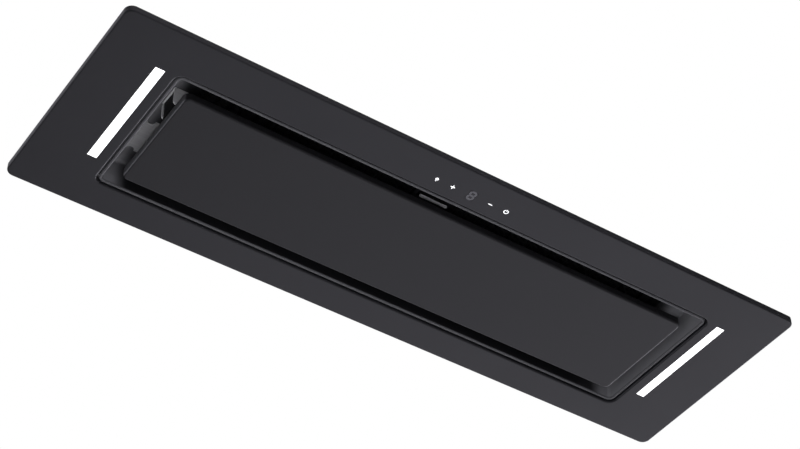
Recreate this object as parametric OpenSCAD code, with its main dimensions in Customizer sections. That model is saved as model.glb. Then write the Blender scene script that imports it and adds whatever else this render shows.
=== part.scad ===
// Undermount range hood with a perimeter suction panel.
// The origin is at the centre of the room-side face. The hood rises from that face along +Z,
// +X runs along the hood and -Y is the side that carries the touch controls.

/* [Face plate] */
// Length of the face plate
plate_l = 900; // [860:5:1200]
// Width of the face plate
plate_w = 287; // [282:1:320]
// Height of the returned outer edge
plate_h = 8; // [7:0.5:12]
// Corner radius of the face plate
plate_r = 15; // [14:1:30]
// Bend radius of the plate's outer edge
plate_edge_r = 1.6; // [1.6:0.1:2.5]
// Width of the hem behind the outer edge
hem_w = 12; // [8:1:13]
// Thickness of the steel sheet of the plate, the recess and the panel
sheet_t = 1.2; // [0.8:0.1:1.5]

/* [Recess] */
// Width of the face plate beyond each end of the recess
end_land = 93.5; // [84:0.5:110]
// Width of the face plate between the recess and its far edge
far_land = 48.5; // [44:0.5:54]
// Depth of the recess from the face to its flange
recess_h = 39; // [37:1:48]
// Corner radius of the recess
recess_r = 5; // [5:0.5:9]
// Fold radius between the recess walls and the flange
fold_r = 4; // [3:0.5:4.5]
// Diameter of the rolled bead round the mouth of the recess
bead_d = 3.6; // [3.2:0.2:4.4]
// Shadow gap between the bead and the face plate
shadow_gap = 2.4; // [1.4:0.1:3]
// Width of the recess flange at each end of the filter shaft
flange_end_w = 34.5; // [32:0.5:44]
// Width of the recess flange along each side of the filter shaft
flange_side_w = 15; // [13:0.5:20]

/* [Perimeter panel] */
// Suction gap at each end of the panel
gap_end = 17.5; // [14:0.5:20]
// Suction gap along the panel's near edge
gap_near = 19; // [15:0.5:22]
// Suction gap along the panel's far edge
gap_far = 15; // [13:0.5:20]
// Thickness of the panel
panel_h = 10; // [9:0.5:10.5]
// Corner radius of the panel
panel_r = 7.5; // [7.5:0.5:14]
// Edge rounding of the panel
panel_edge_r = 2.5; // [2:0.5:3.5]
// Width of the hem on the back of the panel
panel_hem = 7; // [5:0.5:7]
// Distance from the hinge axis to the panel's far edge
hinge_inset = 18; // [16:0.5:19]
// Height of the hinge axis above the face
hinge_z = 17; // [16.5:0.5:18]

/* [Hinges and catches] */
// Diameter of the hinge pins
pin_d = 5; // [4:0.5:6]
// Thickness of the hinge and catch sheet
bracket_t = 1.5; // [1.2:0.1:1.8]
// Radius of the eye at the tip of a hinge leg
eye_r = 5.5; // [4.5:0.25:5.75]
// Width of a catch bracket across the hood
catch_w = 28; // [24:1:34]
// Length of a catch bracket along the hood
catch_l = 30; // [27:1:31]
// Distance from the panel's near edge to the catch bracket
catch_inset = 26; // [20:1:34]
// Height of the catch bracket's legs above the face
catch_leg_z = 14; // [13:0.5:16]
// Diameter of a catch magnet
magnet_d = 14; // [10:1:16]

/* [Filter] */
// Height of the filter's lower side above the recess flange
filter_rise = 16; // [14:0.5:20]
// Thickness of the filter frame
filter_h = 9.5; // [9:0.5:11]
// Gap between the filter and the shaft
filter_gap = 1.5; // [1:0.1:2]
// Width of the filter frame's flanges
filter_flange = 12; // [10:0.5:14]
// Sheet thickness of the filter frame
filter_t = 0.8; // [0.6:0.1:1]
// Thickness of the pleated filter mesh
mesh_t = 1.2; // [0.8:0.1:1.6]
// Pitch of the mesh pleats
pleat_pitch = 15; // [12:0.5:20]
// Width of the filter's rear tabs
tab_w = 40; // [30:1:60]
// Distance from the end of the filter to the middle of each rear tab
tab_inset = 120.5; // [60:0.5:180]
// Width of the latch bar that the fingers pull
pull_l = 38; // [34:1:44]
// Depth of the pull below the filter
pull_drop = 4.5; // [3:0.5:6]
// Travel of the latch
latch_travel = 4; // [3:0.5:5]
// Distance from the filter's near edge to the pull
pull_inset = 30.5; // [28:0.5:36]

/* [Lights and controls] */
// Length of each light strip
led_l = 154; // [140:1:160]
// Width of each light strip
led_w = 11; // [9:0.5:12]
// Distance from the recess to each light strip
led_gap = 19.5; // [17:0.5:24]
// Distance from the middle of the plate to the middle of a light strip, towards the controls
led_y = 10; // [5:1:15]
// Height of the light trays
led_tray_h = 15; // [12:0.5:20]
// Distance from the display to the middle of each inner touch symbol
key_inner = 25.5; // [20:0.5:28]
// Distance from the display to the middle of each outer touch symbol
key_outer = 47.3; // [40:0.1:52]
// Length of the display window across the row
window_w = 14; // [12:0.5:16]
// Width of the display window along the row
window_l = 10; // [8:0.5:12]
// Distance from the touch cover to the folded edge round the recess
key_gap = 4.2; // [3:0.1:8]

/* [Chassis] */
// Overlap of the face plate past the chassis at each end
overlap_x = 26; // [22:1:30]
// Overlap of the face plate past the chassis at each side
overlap_y = 15.5; // [14.5:0.5:18]
// Space between the filter shaft and the top of the chassis
roof_space = 24; // [22:1:34]
// Thickness of the chassis sheet
chassis_t = 1; // [0.8:0.1:1.2]
// Width of the flange round the chassis mouth
chassis_flange = 8; // [6:0.5:10]
// Bend radius of the chassis and blower box corners
bend_r = 3; // [2:0.5:5]
// Length of the blower box
box_l = 300; // [280:2:340]
// Width of the blower box's end flanges
box_flange = 14; // [12:1:20]
// Height of the stiffening ribs pressed into the chassis and the blower box
rib_h = 3; // [2:0.5:4]
// Radius of the stiffening ribs
rib_r = 8; // [6:0.5:10]
// Diameter of the cabinet screw holes
cabinet_hole_d = 4.5; // [4:0.5:6]
// Distance between the cabinet screw holes across the hood
cabinet_hole_dy = 180; // [120:5:200]
// Distance between the cabinet screw holes up the end wall
cabinet_hole_dz = 40; // [30:1:44]

/* [Blower] */
// Radius of the first arc of the scroll
scroll_r = 72; // [66:0.5:78]
// Growth of the scroll from one arc to the next
scroll_step = 12; // [10:0.5:14]
// Gap between the scroll and the blower box's near wall
scroll_near_gap = 7; // [5:0.5:12]
// Gap between the scroll and the blower box's far wall
scroll_far_gap = 43; // [40:1:50]
// Gap between the filter shaft and the scroll
scroll_floor_gap = 4; // [3:0.5:10]
// Height of the straight outlet above the scroll's tongue
outlet_neck = 18; // [14:1:30]
// Gap between the impeller and the first arc of the scroll
impeller_gap = 14; // [12:0.5:18]
// Width of the impeller
impeller_w = 100; // [80:2:104]
// Gap between the impeller and each side plate
impeller_side_gap = 4; // [3:0.5:8]
// Radial depth of the impeller blades
blade_depth = 11; // [8:0.5:12]
// Thickness of an impeller blade
blade_t = 0.9; // [0.7:0.1:1.2]
// Number of impeller blades
blade_count = 36; // [24:2:44]
// Difference between the radii of the impeller and of the fan inlets
inlet_step = 12; // [11:0.5:16]
// Radial gap between the motor and the fan inlet
motor_gap = 10; // [6:0.5:14]
// Length of the motor
motor_l = 52; // [44:1:56]
// Radius of the motor shaft
shaft_r = 4; // [3:0.5:5]

/* [Duct spigot] */
// Outer radius of the duct spigot
spigot_r = 75; // [74.5:0.5:80]
// Height of the spigot
spigot_h = 50; // [40:1:60]
// Wall of the spigot
spigot_t = 1.2; // [1:0.1:1.5]
// Width of the spigot's flange beyond the spigot
spigot_flange_w = 13; // [12:0.5:18]
// Half the distance between the two flap axes
flap_offset = 7; // [6.5:0.5:9]
// Thickness of a damper flap
flap_t = 1.2; // [1:0.1:1.5]
// Radius of a damper pin
flap_pin_r = 1.5; // [1.2:0.1:1.8]

/* [Electrical parts] */
// Length of the terminal box
terminal_l = 80; // [70:2:90]
// Width of the terminal box
terminal_w = 100; // [90:2:120]
// Height of the terminal box
terminal_h = 36; // [32:1:44]
// Distance from the blower box's flange to the terminal box
terminal_gap = 30; // [20:1:50]
// Radius of the cable gland's bore
gland_bore_r = 4; // [3:0.5:5]
// Radius of the capacitor
capacitor_r = 17; // [14:1:19]
// Height of the capacitor
capacitor_h = 70; // [60:2:80]
// Length of the light driver
driver_l = 110; // [90:2:130]
// Width of the light driver
driver_w = 40; // [30:1:50]
// Height of the light driver
driver_h = 18; // [14:0.5:20]
// Distance from the blower box's flange to the light driver's foot
driver_gap = 22; // [15:1:40]
// Length of the control box
control_l = 130; // [100:2:150]
// Width of the control box
control_w = 60; // [50:1:80]
// Height of the control box
control_h = 20; // [14:0.5:21]
// Distance from the blower box's flange to the control box's foot
control_gap = 12; // [10:1:30]

/* [Fits] */
// Radial clearance of a pin in its bore
pin_fit = 0.05; // [0.03:0.01:0.08]
// Gap between parts that seat on each other without touching
seat_gap = 0.3; // [0.2:0.05:0.4]
// Gap round a lens or a tongue in its cut-out
slot_gap = 0.3; // [0.2:0.05:0.5]

/* [Hidden] */
$fn = 64;
cut = 1;

// The mouth cut into the face plate and its folded edge
mouth_margin = bead_d + shadow_gap;
bead_rise = 1.2;
bead_z = bead_rise + bead_d / 2;
mouth_fold_r = 2;
mouth_hem = 6;

// The touch cover sits between the chassis flange and the mouth's folded edge, and fixes
// the width of the plate on the near side
window_lip = 0.8;
key_cover_rim = 1.2;
key_cover_h = 11;
key_cover_end = 14.7;
key_cover_l = 2 * (key_outer + key_cover_end);
key_cover_w = window_w + 2 * (window_lip + slot_gap + key_cover_rim);
cover_gap = 0.2;
near_land = overlap_y + chassis_flange + cover_gap + key_cover_w + key_gap + mouth_hem + mouth_margin;
key_y = plate_w / 2 - overlap_y - chassis_flange - cover_gap - key_cover_w / 2;
guide_r = 4.5;
guide_h = 2;
board_t = 1.6;
board_z = sheet_t + guide_h;
board_l = key_cover_l - 6 * key_cover_rim;
board_w = key_cover_w - 2 * key_cover_rim;

// The recess, centred off the middle of the plate, and its mouth
recess_l = plate_l - 2 * end_land;
recess_w = plate_w - near_land - far_land;
recess_y = (near_land - far_land) / 2;
mouth_l = recess_l + 2 * mouth_margin;
mouth_w = recess_w + 2 * mouth_margin;
mouth_r = recess_r + mouth_margin;
flange_z = recess_h;

// The filter shaft and the filter
shaft_l = recess_l - 2 * flange_end_w;
shaft_w = recess_w - 2 * flange_side_w;
shaft_r_in = 6;
stop_w = 5;
shaft_near = recess_y - shaft_w / 2;
filter_z = flange_z + filter_rise;
filter_top = filter_z + filter_h;
shaft_top = filter_top + seat_gap;
filter_l = shaft_l - 2 * filter_gap;
filter_w = shaft_w - 2 * filter_gap;
filter_r = shaft_r_in - filter_gap;
filter_near = recess_y - filter_w / 2;
filter_far = recess_y + filter_w / 2;
core_gap = 0.3 * filter_r;
core_z0 = filter_z + filter_t + seat_gap;
core_z1 = filter_top - filter_t - seat_gap;
tab_t = 1.2;
tab_z = core_z0 + 0.9;
tab_reach = 5;
tab_x = filter_l / 2 - tab_inset;

// The latch
tongue_w = 24;
tongue_t = 2.5;
latch_floor = 1.8;
housing_side = 5;
housing_wall = 2;
housing_w = pull_l + 2 * housing_side;
housing_z0 = core_z0;
housing_z1 = core_z1 - seat_gap;
tongue_z = housing_z0 + latch_floor + slot_gap;
bolt_reach = 3;
pull_t = 4;
pull_edge_r = 1.5;
pull_y = filter_near + pull_inset;
spring_l = 12;
housing_end = pull_y + pull_t + spring_l + housing_wall;
spring_r = 1.9;
spring_wire = 0.5;
spring_turns = 5;
spring_z = tongue_z + tongue_t / 2;

// The panel, its hinge and its catches
panel_l = recess_l - 2 * gap_end;
panel_w = recess_w - gap_near - gap_far;
panel_y = recess_y + (gap_near - gap_far) / 2;
panel_near = panel_y - panel_w / 2;
panel_far = panel_y + panel_w / 2;
flange_end = recess_l / 2 - fold_r;
hinge_y = panel_far - hinge_inset;
leg_step = 2;
leg_x = shaft_l / 2 + leg_step;
arm_gap = 1.5;
arm_t = 2;
arm_x = leg_x - arm_gap - arm_t;
arm_foot_l = 20;
arm_foot_w = 36;
arm_fillet = 10;
hinge_foot_gap = 6.5;
hinge_foot_l = flange_end - hinge_foot_gap - leg_x;
hinge_foot_near = 44;
hinge_foot_far = 8;
hinge_fillet = 16;
foot_r = 4;
notch_r = 5;
pin_r = pin_d / 2;
pin_head_r = pin_r + 1.5;
pin_head_t = 1.2;
catch_gap = 11.5;
catch_x1 = flange_end - catch_gap;
catch_x0 = catch_x1 - catch_l;
catch_y0 = panel_near + catch_inset;
catch_y1 = catch_y0 + catch_w;
catch_side = 2;
magnet_h = 5;
catch_body_z = 12.6;
striker_top = catch_body_z - 2 * seat_gap;
striker_margin = 3;
striker_l = magnet_d + striker_margin;
striker_w = magnet_d + 2 * striker_margin;
striker_lip = 6;
striker_gap = 1.5;
magnet_x = panel_l / 2 - panel_hem - striker_l / 2 - striker_gap;
magnet_y = (catch_y0 + catch_y1) / 2;
stiffener_w = 26;
stiffener_lip = 8;
stiffener_h = 6;
stiffener_gap = 22.5;
stiffener_l = 2 * (arm_x + arm_t - arm_foot_l - stiffener_gap);
stiffener_dy = 62;

// The lights
lens_shoulder = 1.5;
lens_flange_t = 1.8;
tray_t = 1.2;
chip_w = 3;
chip_h = 0.8;
chip_pitch = 11;
led_x = recess_l / 2 + led_gap + led_w / 2;

// The chassis
chassis_l = plate_l - 2 * overlap_x;
chassis_w = plate_w - 2 * overlap_y;
chassis_z = shaft_top + sheet_t + roof_space;
roof_z = chassis_z - chassis_t;
cabinet_hole_top = 20;
cabinet_hole_z = chassis_z - cabinet_hole_top - cabinet_hole_dz / 2;
screw_r = 2;
screw_head_r = 4;
screw_head_h = 2;
screw_l = 6;
clip_inset = 124;
clip_x = chassis_l / 2 - clip_inset;
clip_drop = 50;
clip_l = 30;
clip_t = 0.8;
clip_root = 16;
clip_h = 34;
clip_reach = 8;
clip_hole_z = 8;
rivet_head_t = 1;
rib_inset = 25;

// The scroll, with its centre at the fan axis
half_step = scroll_step / 2;
outlet_w = scroll_r + 2 * scroll_step;
outlet_x0 = half_step;
outlet_x1 = outlet_x0 + outlet_w;
tongue_z1 = scroll_r - half_step;
scroll_t = 1;
rim_w = 6;
scroll_near = half_step + scroll_r + rim_w;
scroll_far = outlet_x1 + rim_w;
fan_z = shaft_top + sheet_t + scroll_floor_gap + rim_w + half_step + scroll_r + scroll_step;

// The blower box, sized to the scroll
box_z = fan_z + tongue_z1 + outlet_neck;
box_w = 2 * chassis_t + scroll_near_gap + scroll_near + scroll_far + scroll_far_gap;
outlet_h = box_z - chassis_t - fan_z;
fan_y = box_w / 2 - chassis_t - scroll_near_gap - scroll_near;
roof_hole_edge = 12;
roof_hole_l = box_l - 2 * roof_hole_edge;
roof_hole_w = box_w - 2 * roof_hole_edge;
spigot_y = -fan_y + (outlet_x0 + outlet_x1) / 2;

// The impeller and the motor
impeller_r = scroll_r - impeller_gap;
impeller_tilt = 16;
hub_r = 11;
hub_l = 16;
disc_t = 2;
ring_w = 3;
ring_depth = 3;
scroll_w = impeller_w + 2 * impeller_side_gap;
side_x = scroll_w / 2;
inlet_r = impeller_r - inlet_step;
inlet_flare = 5;
inlet_lip = 3;
motor_r = inlet_r - motor_gap;
motor_x0 = 9;
motor_end_t = 4;
fin_h = 2;
fin_t = 2;
fin_end = 6;
boss_r = 12;
boss_h = 3;
shaft_x0 = -hub_l / 2 - 1;
bush_h = 6;
bush_r = 4.5;
bush_edge = 6;
bush_pcd = inlet_r + inlet_flare + inlet_lip + bush_edge;
bush_head_h = 2.5;
bracket_x = side_x + scroll_t + bush_h;
bracket_grip = 10;
bracket_ring_t = 2;
motor_arm_w = 12;

// The damper
spigot_flange = 2 * (spigot_r + spigot_flange_w);
spigot_flange_t = 1.5;
spigot_screw_edge = 8;
spigot_screw_d = spigot_flange - 2 * spigot_screw_edge;
flap_rise = 10;
flap_z = box_z + flap_rise;
flap_hub_r = 3;
flap_play = 1;
flap_r = spigot_r - spigot_t - flap_play;
flap_hub_end = 4.8;
flap_hub_l = 2 * (flap_r - flap_hub_end);
flap_pin_end = 0.5;
bar_w = 4;
bar_h = 12;
lug_w = 10;
lug_depth = 6;

// The electrical parts
terminal_x = box_l / 2 + box_flange + terminal_gap + terminal_l / 2;
terminal_t = 2;
terminal_r = 4;
lid_rim_h = 3;
gland_r = 9;
gland_l = 22;
gland_step = 1.5;
gland_neck = 3;
capacitor_gap = 4;
capacitor_rise = 20;
capacitor_inset = 52;
capacitor_x = -box_l / 2 + chassis_t + capacitor_r + capacitor_gap;
capacitor_y = box_w / 2 - capacitor_inset;
capacitor_z = chassis_z + capacitor_rise;
capacitor_cap = 3;
strap_h = 14;
strap_t = 1.2;
strap_w = 20;
case_r = 3;
case_foot_l = 9;
case_foot_t = 1.5;
driver_x = box_l / 2 + box_flange + driver_gap + case_foot_l + driver_l / 2;
control_x = box_l / 2 + box_flange + control_gap + case_foot_l + control_l / 2;

// Colours
black = [0.17, 0.17, 0.18];
dark = [0.1, 0.1, 0.11];
steel = [0.72, 0.73, 0.74];
zinc = [0.62, 0.64, 0.66];
light_grey = [0.8, 0.8, 0.81];

// Shared shapes

// A rounded rectangle centred on the origin.
module round_rect(l, w, r) {
    square([l - 2 * r, w], center = true);
    square([l, w - 2 * r], center = true);
    for (sx = [-1, 1], sy = [-1, 1])
        translate([sx * (l / 2 - r), sy * (w / 2 - r)]) circle(r = r);
}

// A flat ring between two rounded rectangles.
module round_ring(l, w, r, band) {
    difference() {
        round_rect(l + 2 * band, w + 2 * band, r + band);
        round_rect(l, w, r);
    }
}

// Sweeps a section round a rounded rectangle. The section's x runs outward from the edge
// of the rectangle, and its y becomes the height.
module sweep_rect(l, w, r) {
    x = l / 2 - r;
    y = w / 2 - r;
    for (turn = [0, 180]) {
        rotate(turn) translate([l / 2, y, 0]) rotate([90, 0, 0]) linear_extrude(2 * y) children();
        rotate(turn + 90) translate([w / 2, x, 0]) rotate([90, 0, 0]) linear_extrude(2 * x) children();
    }
    for (turn = [0, 180]) {
        rotate(turn) translate([x, y, 0]) rotate_extrude(angle = 90) translate([r, 0]) children();
        rotate(turn + 90) translate([y, x, 0]) rotate_extrude(angle = 90) translate([r, 0]) children();
    }
}

// A rectangle from x = -w to 0 whose lower right corner is rounded.
module soft_corner(w, h, r) {
    translate([-w, r]) square([w, h - r]);
    translate([-w, 0]) square([w - r, h]);
    translate([-r, r]) circle(r = r);
}

// The section of a folded sheet edge: face, rounded edge, wall and hem.
module fold_section(h, r, t, hem) {
    difference() {
        soft_corner(hem, h, r);
        translate([-t, t]) soft_corner(hem, h - 2 * t, r - t);
    }
}

// A pressed tray with a rounded edge and a hem behind it.
module tray(l, w, r, h, edge_r, hem, t) {
    sweep_rect(l, w, r) fold_section(h, edge_r, t, hem);
    linear_extrude(t) round_rect(l - 2 * hem, w - 2 * hem, r - hem);
}

// The two ends of the hood, the second as the mirror image of the first.
module both_ends() {
    children();
    mirror([1, 0, 0]) children();
}

// The two long sides of the hood, the second as the first turned round.
module both_sides() {
    children();
    rotate(180) children();
}

// A pan-head screw with its head seated at z = 0 and its shank below.
module screw(shank) {
    cylinder(r = screw_head_r, h = screw_head_h);
    translate([0, 0, -shank]) cylinder(r = screw_r, h = shank);
}

// A bar along X with ball ends, sunk so that the rib height of it stands above z = 0.
module sunk_bar(l, r) {
    translate([0, 0, rib_h - rib_r]) {
        rotate([0, 90, 0]) cylinder(r = r, h = l, center = true);
        for (sx = [-1, 1]) translate([sx * l / 2, 0, 0]) sphere(r = r);
    }
}

// The outside of a stiffening rib, on a sheet whose outer side is at z = 0.
module rib(l) {
    intersection() {
        sunk_bar(l, rib_r);
        translate([-l, -rib_r, -chassis_t / 2]) cube([2 * l, 2 * rib_r, rib_r]);
    }
}

// The hollow behind a stiffening rib.
module rib_hollow(l) {
    intersection() {
        sunk_bar(l, rib_r - chassis_t);
        translate([-l, -rib_r, -2 * chassis_t]) cube([2 * l, 2 * rib_r, rib_r]);
    }
}

// Stands what lies on z = 0 upright, so that it faces +Y.
module on_wall(y, z) {
    translate([0, y, z]) rotate([-90, 0, 0]) children();
}

// Face plate and recess

module face_plate() {
    slot = 2 * slot_gap;
    color(black) difference() {
        union() {
            difference() {
                tray(plate_l, plate_w, plate_r, plate_h, plate_edge_r, hem_w, sheet_t);
                translate([0, recess_y, -cut]) linear_extrude(sheet_t + 2 * cut)
                    round_rect(mouth_l + 2 * mouth_hem, mouth_w + 2 * mouth_hem, mouth_r + mouth_hem);
            }
            translate([0, recess_y, 0]) sweep_rect(mouth_l, mouth_w, mouth_r)
                mirror([1, 0, 0]) fold_section(plate_h, mouth_fold_r, sheet_t, mouth_hem);
        }
        both_ends() translate([led_x, -led_y, -cut])
            linear_extrude(sheet_t + 2 * cut) square([led_w + slot, led_l + slot], center = true);
        translate([0, -key_y, -cut]) linear_extrude(sheet_t + 2 * cut)
            square([window_l + slot, window_w + slot], center = true);
    }
}

// The bead, the wall, the outer leg with its foot, and the fold into the flange.
module collar_section() {
    bead_r = bead_d / 2;
    translate([bead_r, bead_z]) circle(r = bead_r);
    translate([0, bead_z]) square([sheet_t, recess_h - fold_r - bead_z]);
    translate([bead_d - sheet_t, bead_z]) square([sheet_t, plate_h + sheet_t - bead_z]);
    translate([bead_d - sheet_t, plate_h]) square([sheet_t + shadow_gap + mouth_hem, sheet_t]);
    intersection() {
        translate([-fold_r, recess_h - fold_r]) difference() {
            circle(r = fold_r + sheet_t);
            circle(r = fold_r);
        }
        translate([-fold_r, recess_h - fold_r]) square(fold_r + 2 * sheet_t);
    }
}

module recess_collar() {
    bolt_slot_w = tongue_w + 2 * slot_gap;
    tab_slot_w = tab_w + 4 * slot_gap;
    color(black) translate([0, recess_y, 0]) difference() {
        union() {
            sweep_rect(recess_l, recess_w, recess_r) collar_section();
            translate([0, 0, flange_z]) linear_extrude(sheet_t) difference() {
                round_rect(recess_l - 2 * fold_r, recess_w - 2 * fold_r, recess_r - fold_r);
                round_rect(shaft_l, shaft_w, shaft_r_in);
            }
            translate([0, 0, flange_z]) linear_extrude(shaft_top + sheet_t - flange_z)
                round_ring(shaft_l, shaft_w, shaft_r_in, sheet_t);
            translate([0, 0, shaft_top]) linear_extrude(sheet_t)
                round_ring(shaft_l - 2 * stop_w, shaft_w - 2 * stop_w, shaft_r_in - stop_w, stop_w);
        }
        // The slot for the latch bolt in the near wall of the shaft
        translate([-bolt_slot_w / 2, -shaft_w / 2 - 2 * sheet_t, tongue_z - seat_gap])
            cube([bolt_slot_w, 3 * sheet_t, tongue_t + 2 * seat_gap]);
        // The slots for the rear tabs in the far wall
        for (sx = [-1, 1])
            translate([sx * tab_x - tab_slot_w / 2, shaft_w / 2 - sheet_t, tab_z - seat_gap])
                cube([tab_slot_w, 3 * sheet_t, tab_t + 2 * seat_gap]);
    }
}

// Perimeter panel with its hinge and catches

module perimeter_panel() {
    color(black) translate([0, panel_y, 0])
        tray(panel_l, panel_w, panel_r, panel_h, panel_edge_r, panel_hem, sheet_t);
}

// A hat section: a crown between two lips.
module hat_section(w, h, lip, t) {
    translate([-w / 2, h - t]) square([w, t]);
    for (s = [0, 1]) mirror([s, 0]) {
        translate([w / 2 - t, 0]) square([t, h]);
        translate([w / 2 - t, 0]) square([lip, t]);
    }
}

module panel_stiffeners() {
    color(zinc) for (sy = [-1, 1])
        translate([-stiffener_l / 2, panel_y + sy * stiffener_dy / 2, sheet_t]) rotate([90, 0, 90])
            linear_extrude(stiffener_l) hat_section(stiffener_w, stiffener_h, stiffener_lip, sheet_t);
}

// A leg in the plane across the hood: a round eye at the origin, and a concave flare
// towards its root on the near side.
module eye_leg(root_h, fillet) {
    circle(r = eye_r);
    translate([-eye_r, 0]) square([2 * eye_r, root_h]);
    difference() {
        translate([-eye_r - fillet, root_h - fillet]) square(fillet);
        translate([-eye_r - fillet, root_h - fillet]) circle(r = fillet);
    }
}

module panel_hinge_arms() {
    color(zinc) both_ends() difference() {
        union() {
            translate([arm_x, hinge_y, hinge_z]) rotate([90, 0, 90]) linear_extrude(arm_t)
                mirror([0, 1]) eye_leg(hinge_z - sheet_t, arm_fillet);
            translate([arm_x + arm_t - arm_foot_l, hinge_y + eye_r - arm_foot_w, sheet_t])
                cube([arm_foot_l, arm_foot_w, bracket_t]);
        }
        translate([arm_x - cut, hinge_y, hinge_z]) rotate([0, 90, 0])
            cylinder(r = pin_r + pin_fit, h = arm_t + 2 * cut);
    }
}

// The foot lies under the recess flange and has a round notch in each short side.
module hinge_foot() {
    w = hinge_foot_near + hinge_foot_far;
    difference() {
        translate([hinge_foot_l / 2, w / 2]) round_rect(hinge_foot_l, w, foot_r);
        for (y = [0, w]) translate([hinge_foot_l * 0.6, y]) circle(r = notch_r);
    }
}

module hinge_brackets() {
    color(black) both_ends() difference() {
        union() {
            translate([leg_x, hinge_y, hinge_z]) rotate([90, 0, 90]) linear_extrude(bracket_t)
                eye_leg(flange_z - hinge_z, hinge_fillet);
            translate([leg_x, hinge_y - hinge_foot_near, flange_z - bracket_t])
                linear_extrude(bracket_t) hinge_foot();
        }
        translate([leg_x - cut, hinge_y, hinge_z]) rotate([0, 90, 0])
            cylinder(r = pin_r + pin_fit, h = bracket_t + 2 * cut);
    }
}

module hinge_pins() {
    inner = arm_x - seat_gap;
    outer = leg_x + bracket_t;
    color(steel) both_ends() translate([0, hinge_y, hinge_z]) rotate([0, 90, 0]) {
        translate([0, 0, inner]) cylinder(r = pin_r, h = outer - inner);
        translate([0, 0, inner - pin_head_t]) cylinder(r = pin_head_r, h = pin_head_t);
        translate([0, 0, outer]) cylinder(r = pin_head_r, h = pin_head_t);
    }
}

module catch_brackets() {
    color(black) both_ends() {
        translate([leg_x, catch_y0, flange_z - bracket_t]) cube([catch_x1 - leg_x, catch_w, bracket_t]);
        for (y = [catch_y0 + bracket_t, catch_y1])
            translate([(catch_x0 + catch_x1) / 2, y, (catch_leg_z + flange_z - bracket_t) / 2])
                rotate([90, 0, 0]) linear_extrude(bracket_t)
                round_rect(catch_l, flange_z - bracket_t - catch_leg_z, foot_r);
    }
}

module catch_bodies() {
    body_l = catch_l - 2 * catch_side;
    body_h = flange_z - bracket_t - catch_body_z;
    color(dark) both_ends() difference() {
        translate([catch_x0 + catch_side, catch_y0 + bracket_t, catch_body_z])
            cube([body_l, catch_w - 2 * bracket_t, body_h]);
        translate([magnet_x, magnet_y, catch_body_z - cut])
            cylinder(r = magnet_d / 2 + pin_fit, h = magnet_h + cut);
    }
}

module catch_magnets() {
    color(steel) both_ends() translate([magnet_x, magnet_y, catch_body_z - seat_gap])
        cylinder(r = magnet_d / 2, h = magnet_h + seat_gap);
}

module striker_plates() {
    color(zinc) both_ends() translate([magnet_x, magnet_y + striker_w / 2, sheet_t]) rotate([90, 0, 0])
        linear_extrude(striker_w) hat_section(striker_l, striker_top - sheet_t, striker_lip, bracket_t);
}

// Filter and its latch

module filter_frame() {
    inner_l = filter_l - 2 * filter_t;
    inner_w = filter_w - 2 * filter_t;
    bolt_slot_w = tongue_w + 2 * slot_gap;
    color(steel) difference() {
        union() {
            translate([0, recess_y, filter_z])
                linear_extrude(filter_h) round_rect(filter_l, filter_w, filter_r);
            for (sx = [-1, 1]) translate([sx * tab_x - tab_w / 2, filter_far - filter_t, tab_z])
                cube([tab_w, filter_t + tab_reach + filter_gap, tab_t]);
        }
        translate([0, recess_y, filter_z + filter_t]) linear_extrude(filter_h - 2 * filter_t)
            round_rect(inner_l, inner_w, filter_r - filter_t);
        translate([-filter_l / 2 + filter_flange, filter_near + filter_flange, filter_z - cut])
            cube([filter_l - 2 * filter_flange, filter_w - 2 * filter_flange, filter_h + 2 * cut]);
        translate([-bolt_slot_w / 2, filter_near - cut, tongue_z - slot_gap])
            cube([bolt_slot_w, filter_t + 2 * cut, tongue_t + 2 * slot_gap]);
    }
}

// The zigzag of the mesh: its pleats touch the lower and the upper side in turn.
module pleats(l, h, count) {
    step = l / count;
    upper = [for (i = [0:count]) [-l / 2 + i * step, i % 2 == 0 ? mesh_t : h]];
    lower = [for (i = [count:-1:0]) [-l / 2 + i * step, i % 2 == 0 ? 0 : h - mesh_t]];
    polygon(concat(upper, lower));
}

module filter_core() {
    l = filter_l - 2 * filter_t - 2 * core_gap;
    w = filter_w - 2 * filter_t - 2 * core_gap;
    color(zinc) difference() {
        translate([0, recess_y + w / 2, core_z0]) rotate([90, 0, 0]) linear_extrude(w)
            pleats(l, core_z1 - core_z0, 4 * round(l / pleat_pitch / 2));
        translate([-housing_w / 2 - core_gap, filter_near, filter_z])
            cube([housing_w + 2 * core_gap, housing_end + core_gap - filter_near, filter_h]);
    }
}

module latch_housing() {
    y0 = filter_near + filter_t;
    pull_slot = pull_t + latch_travel + 2 * slot_gap;
    tongue_slot = tongue_w + 2 * slot_gap;
    color(dark) difference() {
        translate([-housing_w / 2, y0, housing_z0])
            cube([housing_w, housing_end - y0, housing_z1 - housing_z0]);
        // The channel of the tongue
        translate([-tongue_slot / 2, y0 - cut, tongue_z - slot_gap])
            cube([tongue_slot, pull_y - y0 + 2 * cut, tongue_t + 2 * slot_gap]);
        // The window of the pull
        translate([-pull_l / 2 - slot_gap, pull_y - slot_gap, housing_z0 - cut])
            cube([pull_l + 2 * slot_gap, pull_slot, tongue_z + tongue_t + slot_gap - housing_z0 + cut]);
        // The chamber of the spring
        translate([-spring_r - spring_wire, pull_y + pull_t, spring_z - spring_r - spring_wire / 2])
            cube([2 * spring_r + 2 * spring_wire, spring_l, 2 * spring_r + spring_wire]);
    }
}

module filter_latch() {
    y0 = shaft_near - sheet_t - bolt_reach;
    color(light_grey) {
        translate([-tongue_w / 2, y0, tongue_z]) cube([tongue_w, pull_y + pull_t - y0, tongue_t]);
        translate([0, pull_y + pull_t / 2, filter_z - pull_drop])
            linear_extrude(tongue_z + tongue_t - filter_z + pull_drop)
            round_rect(pull_l, pull_t, pull_edge_r);
    }
}

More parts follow.
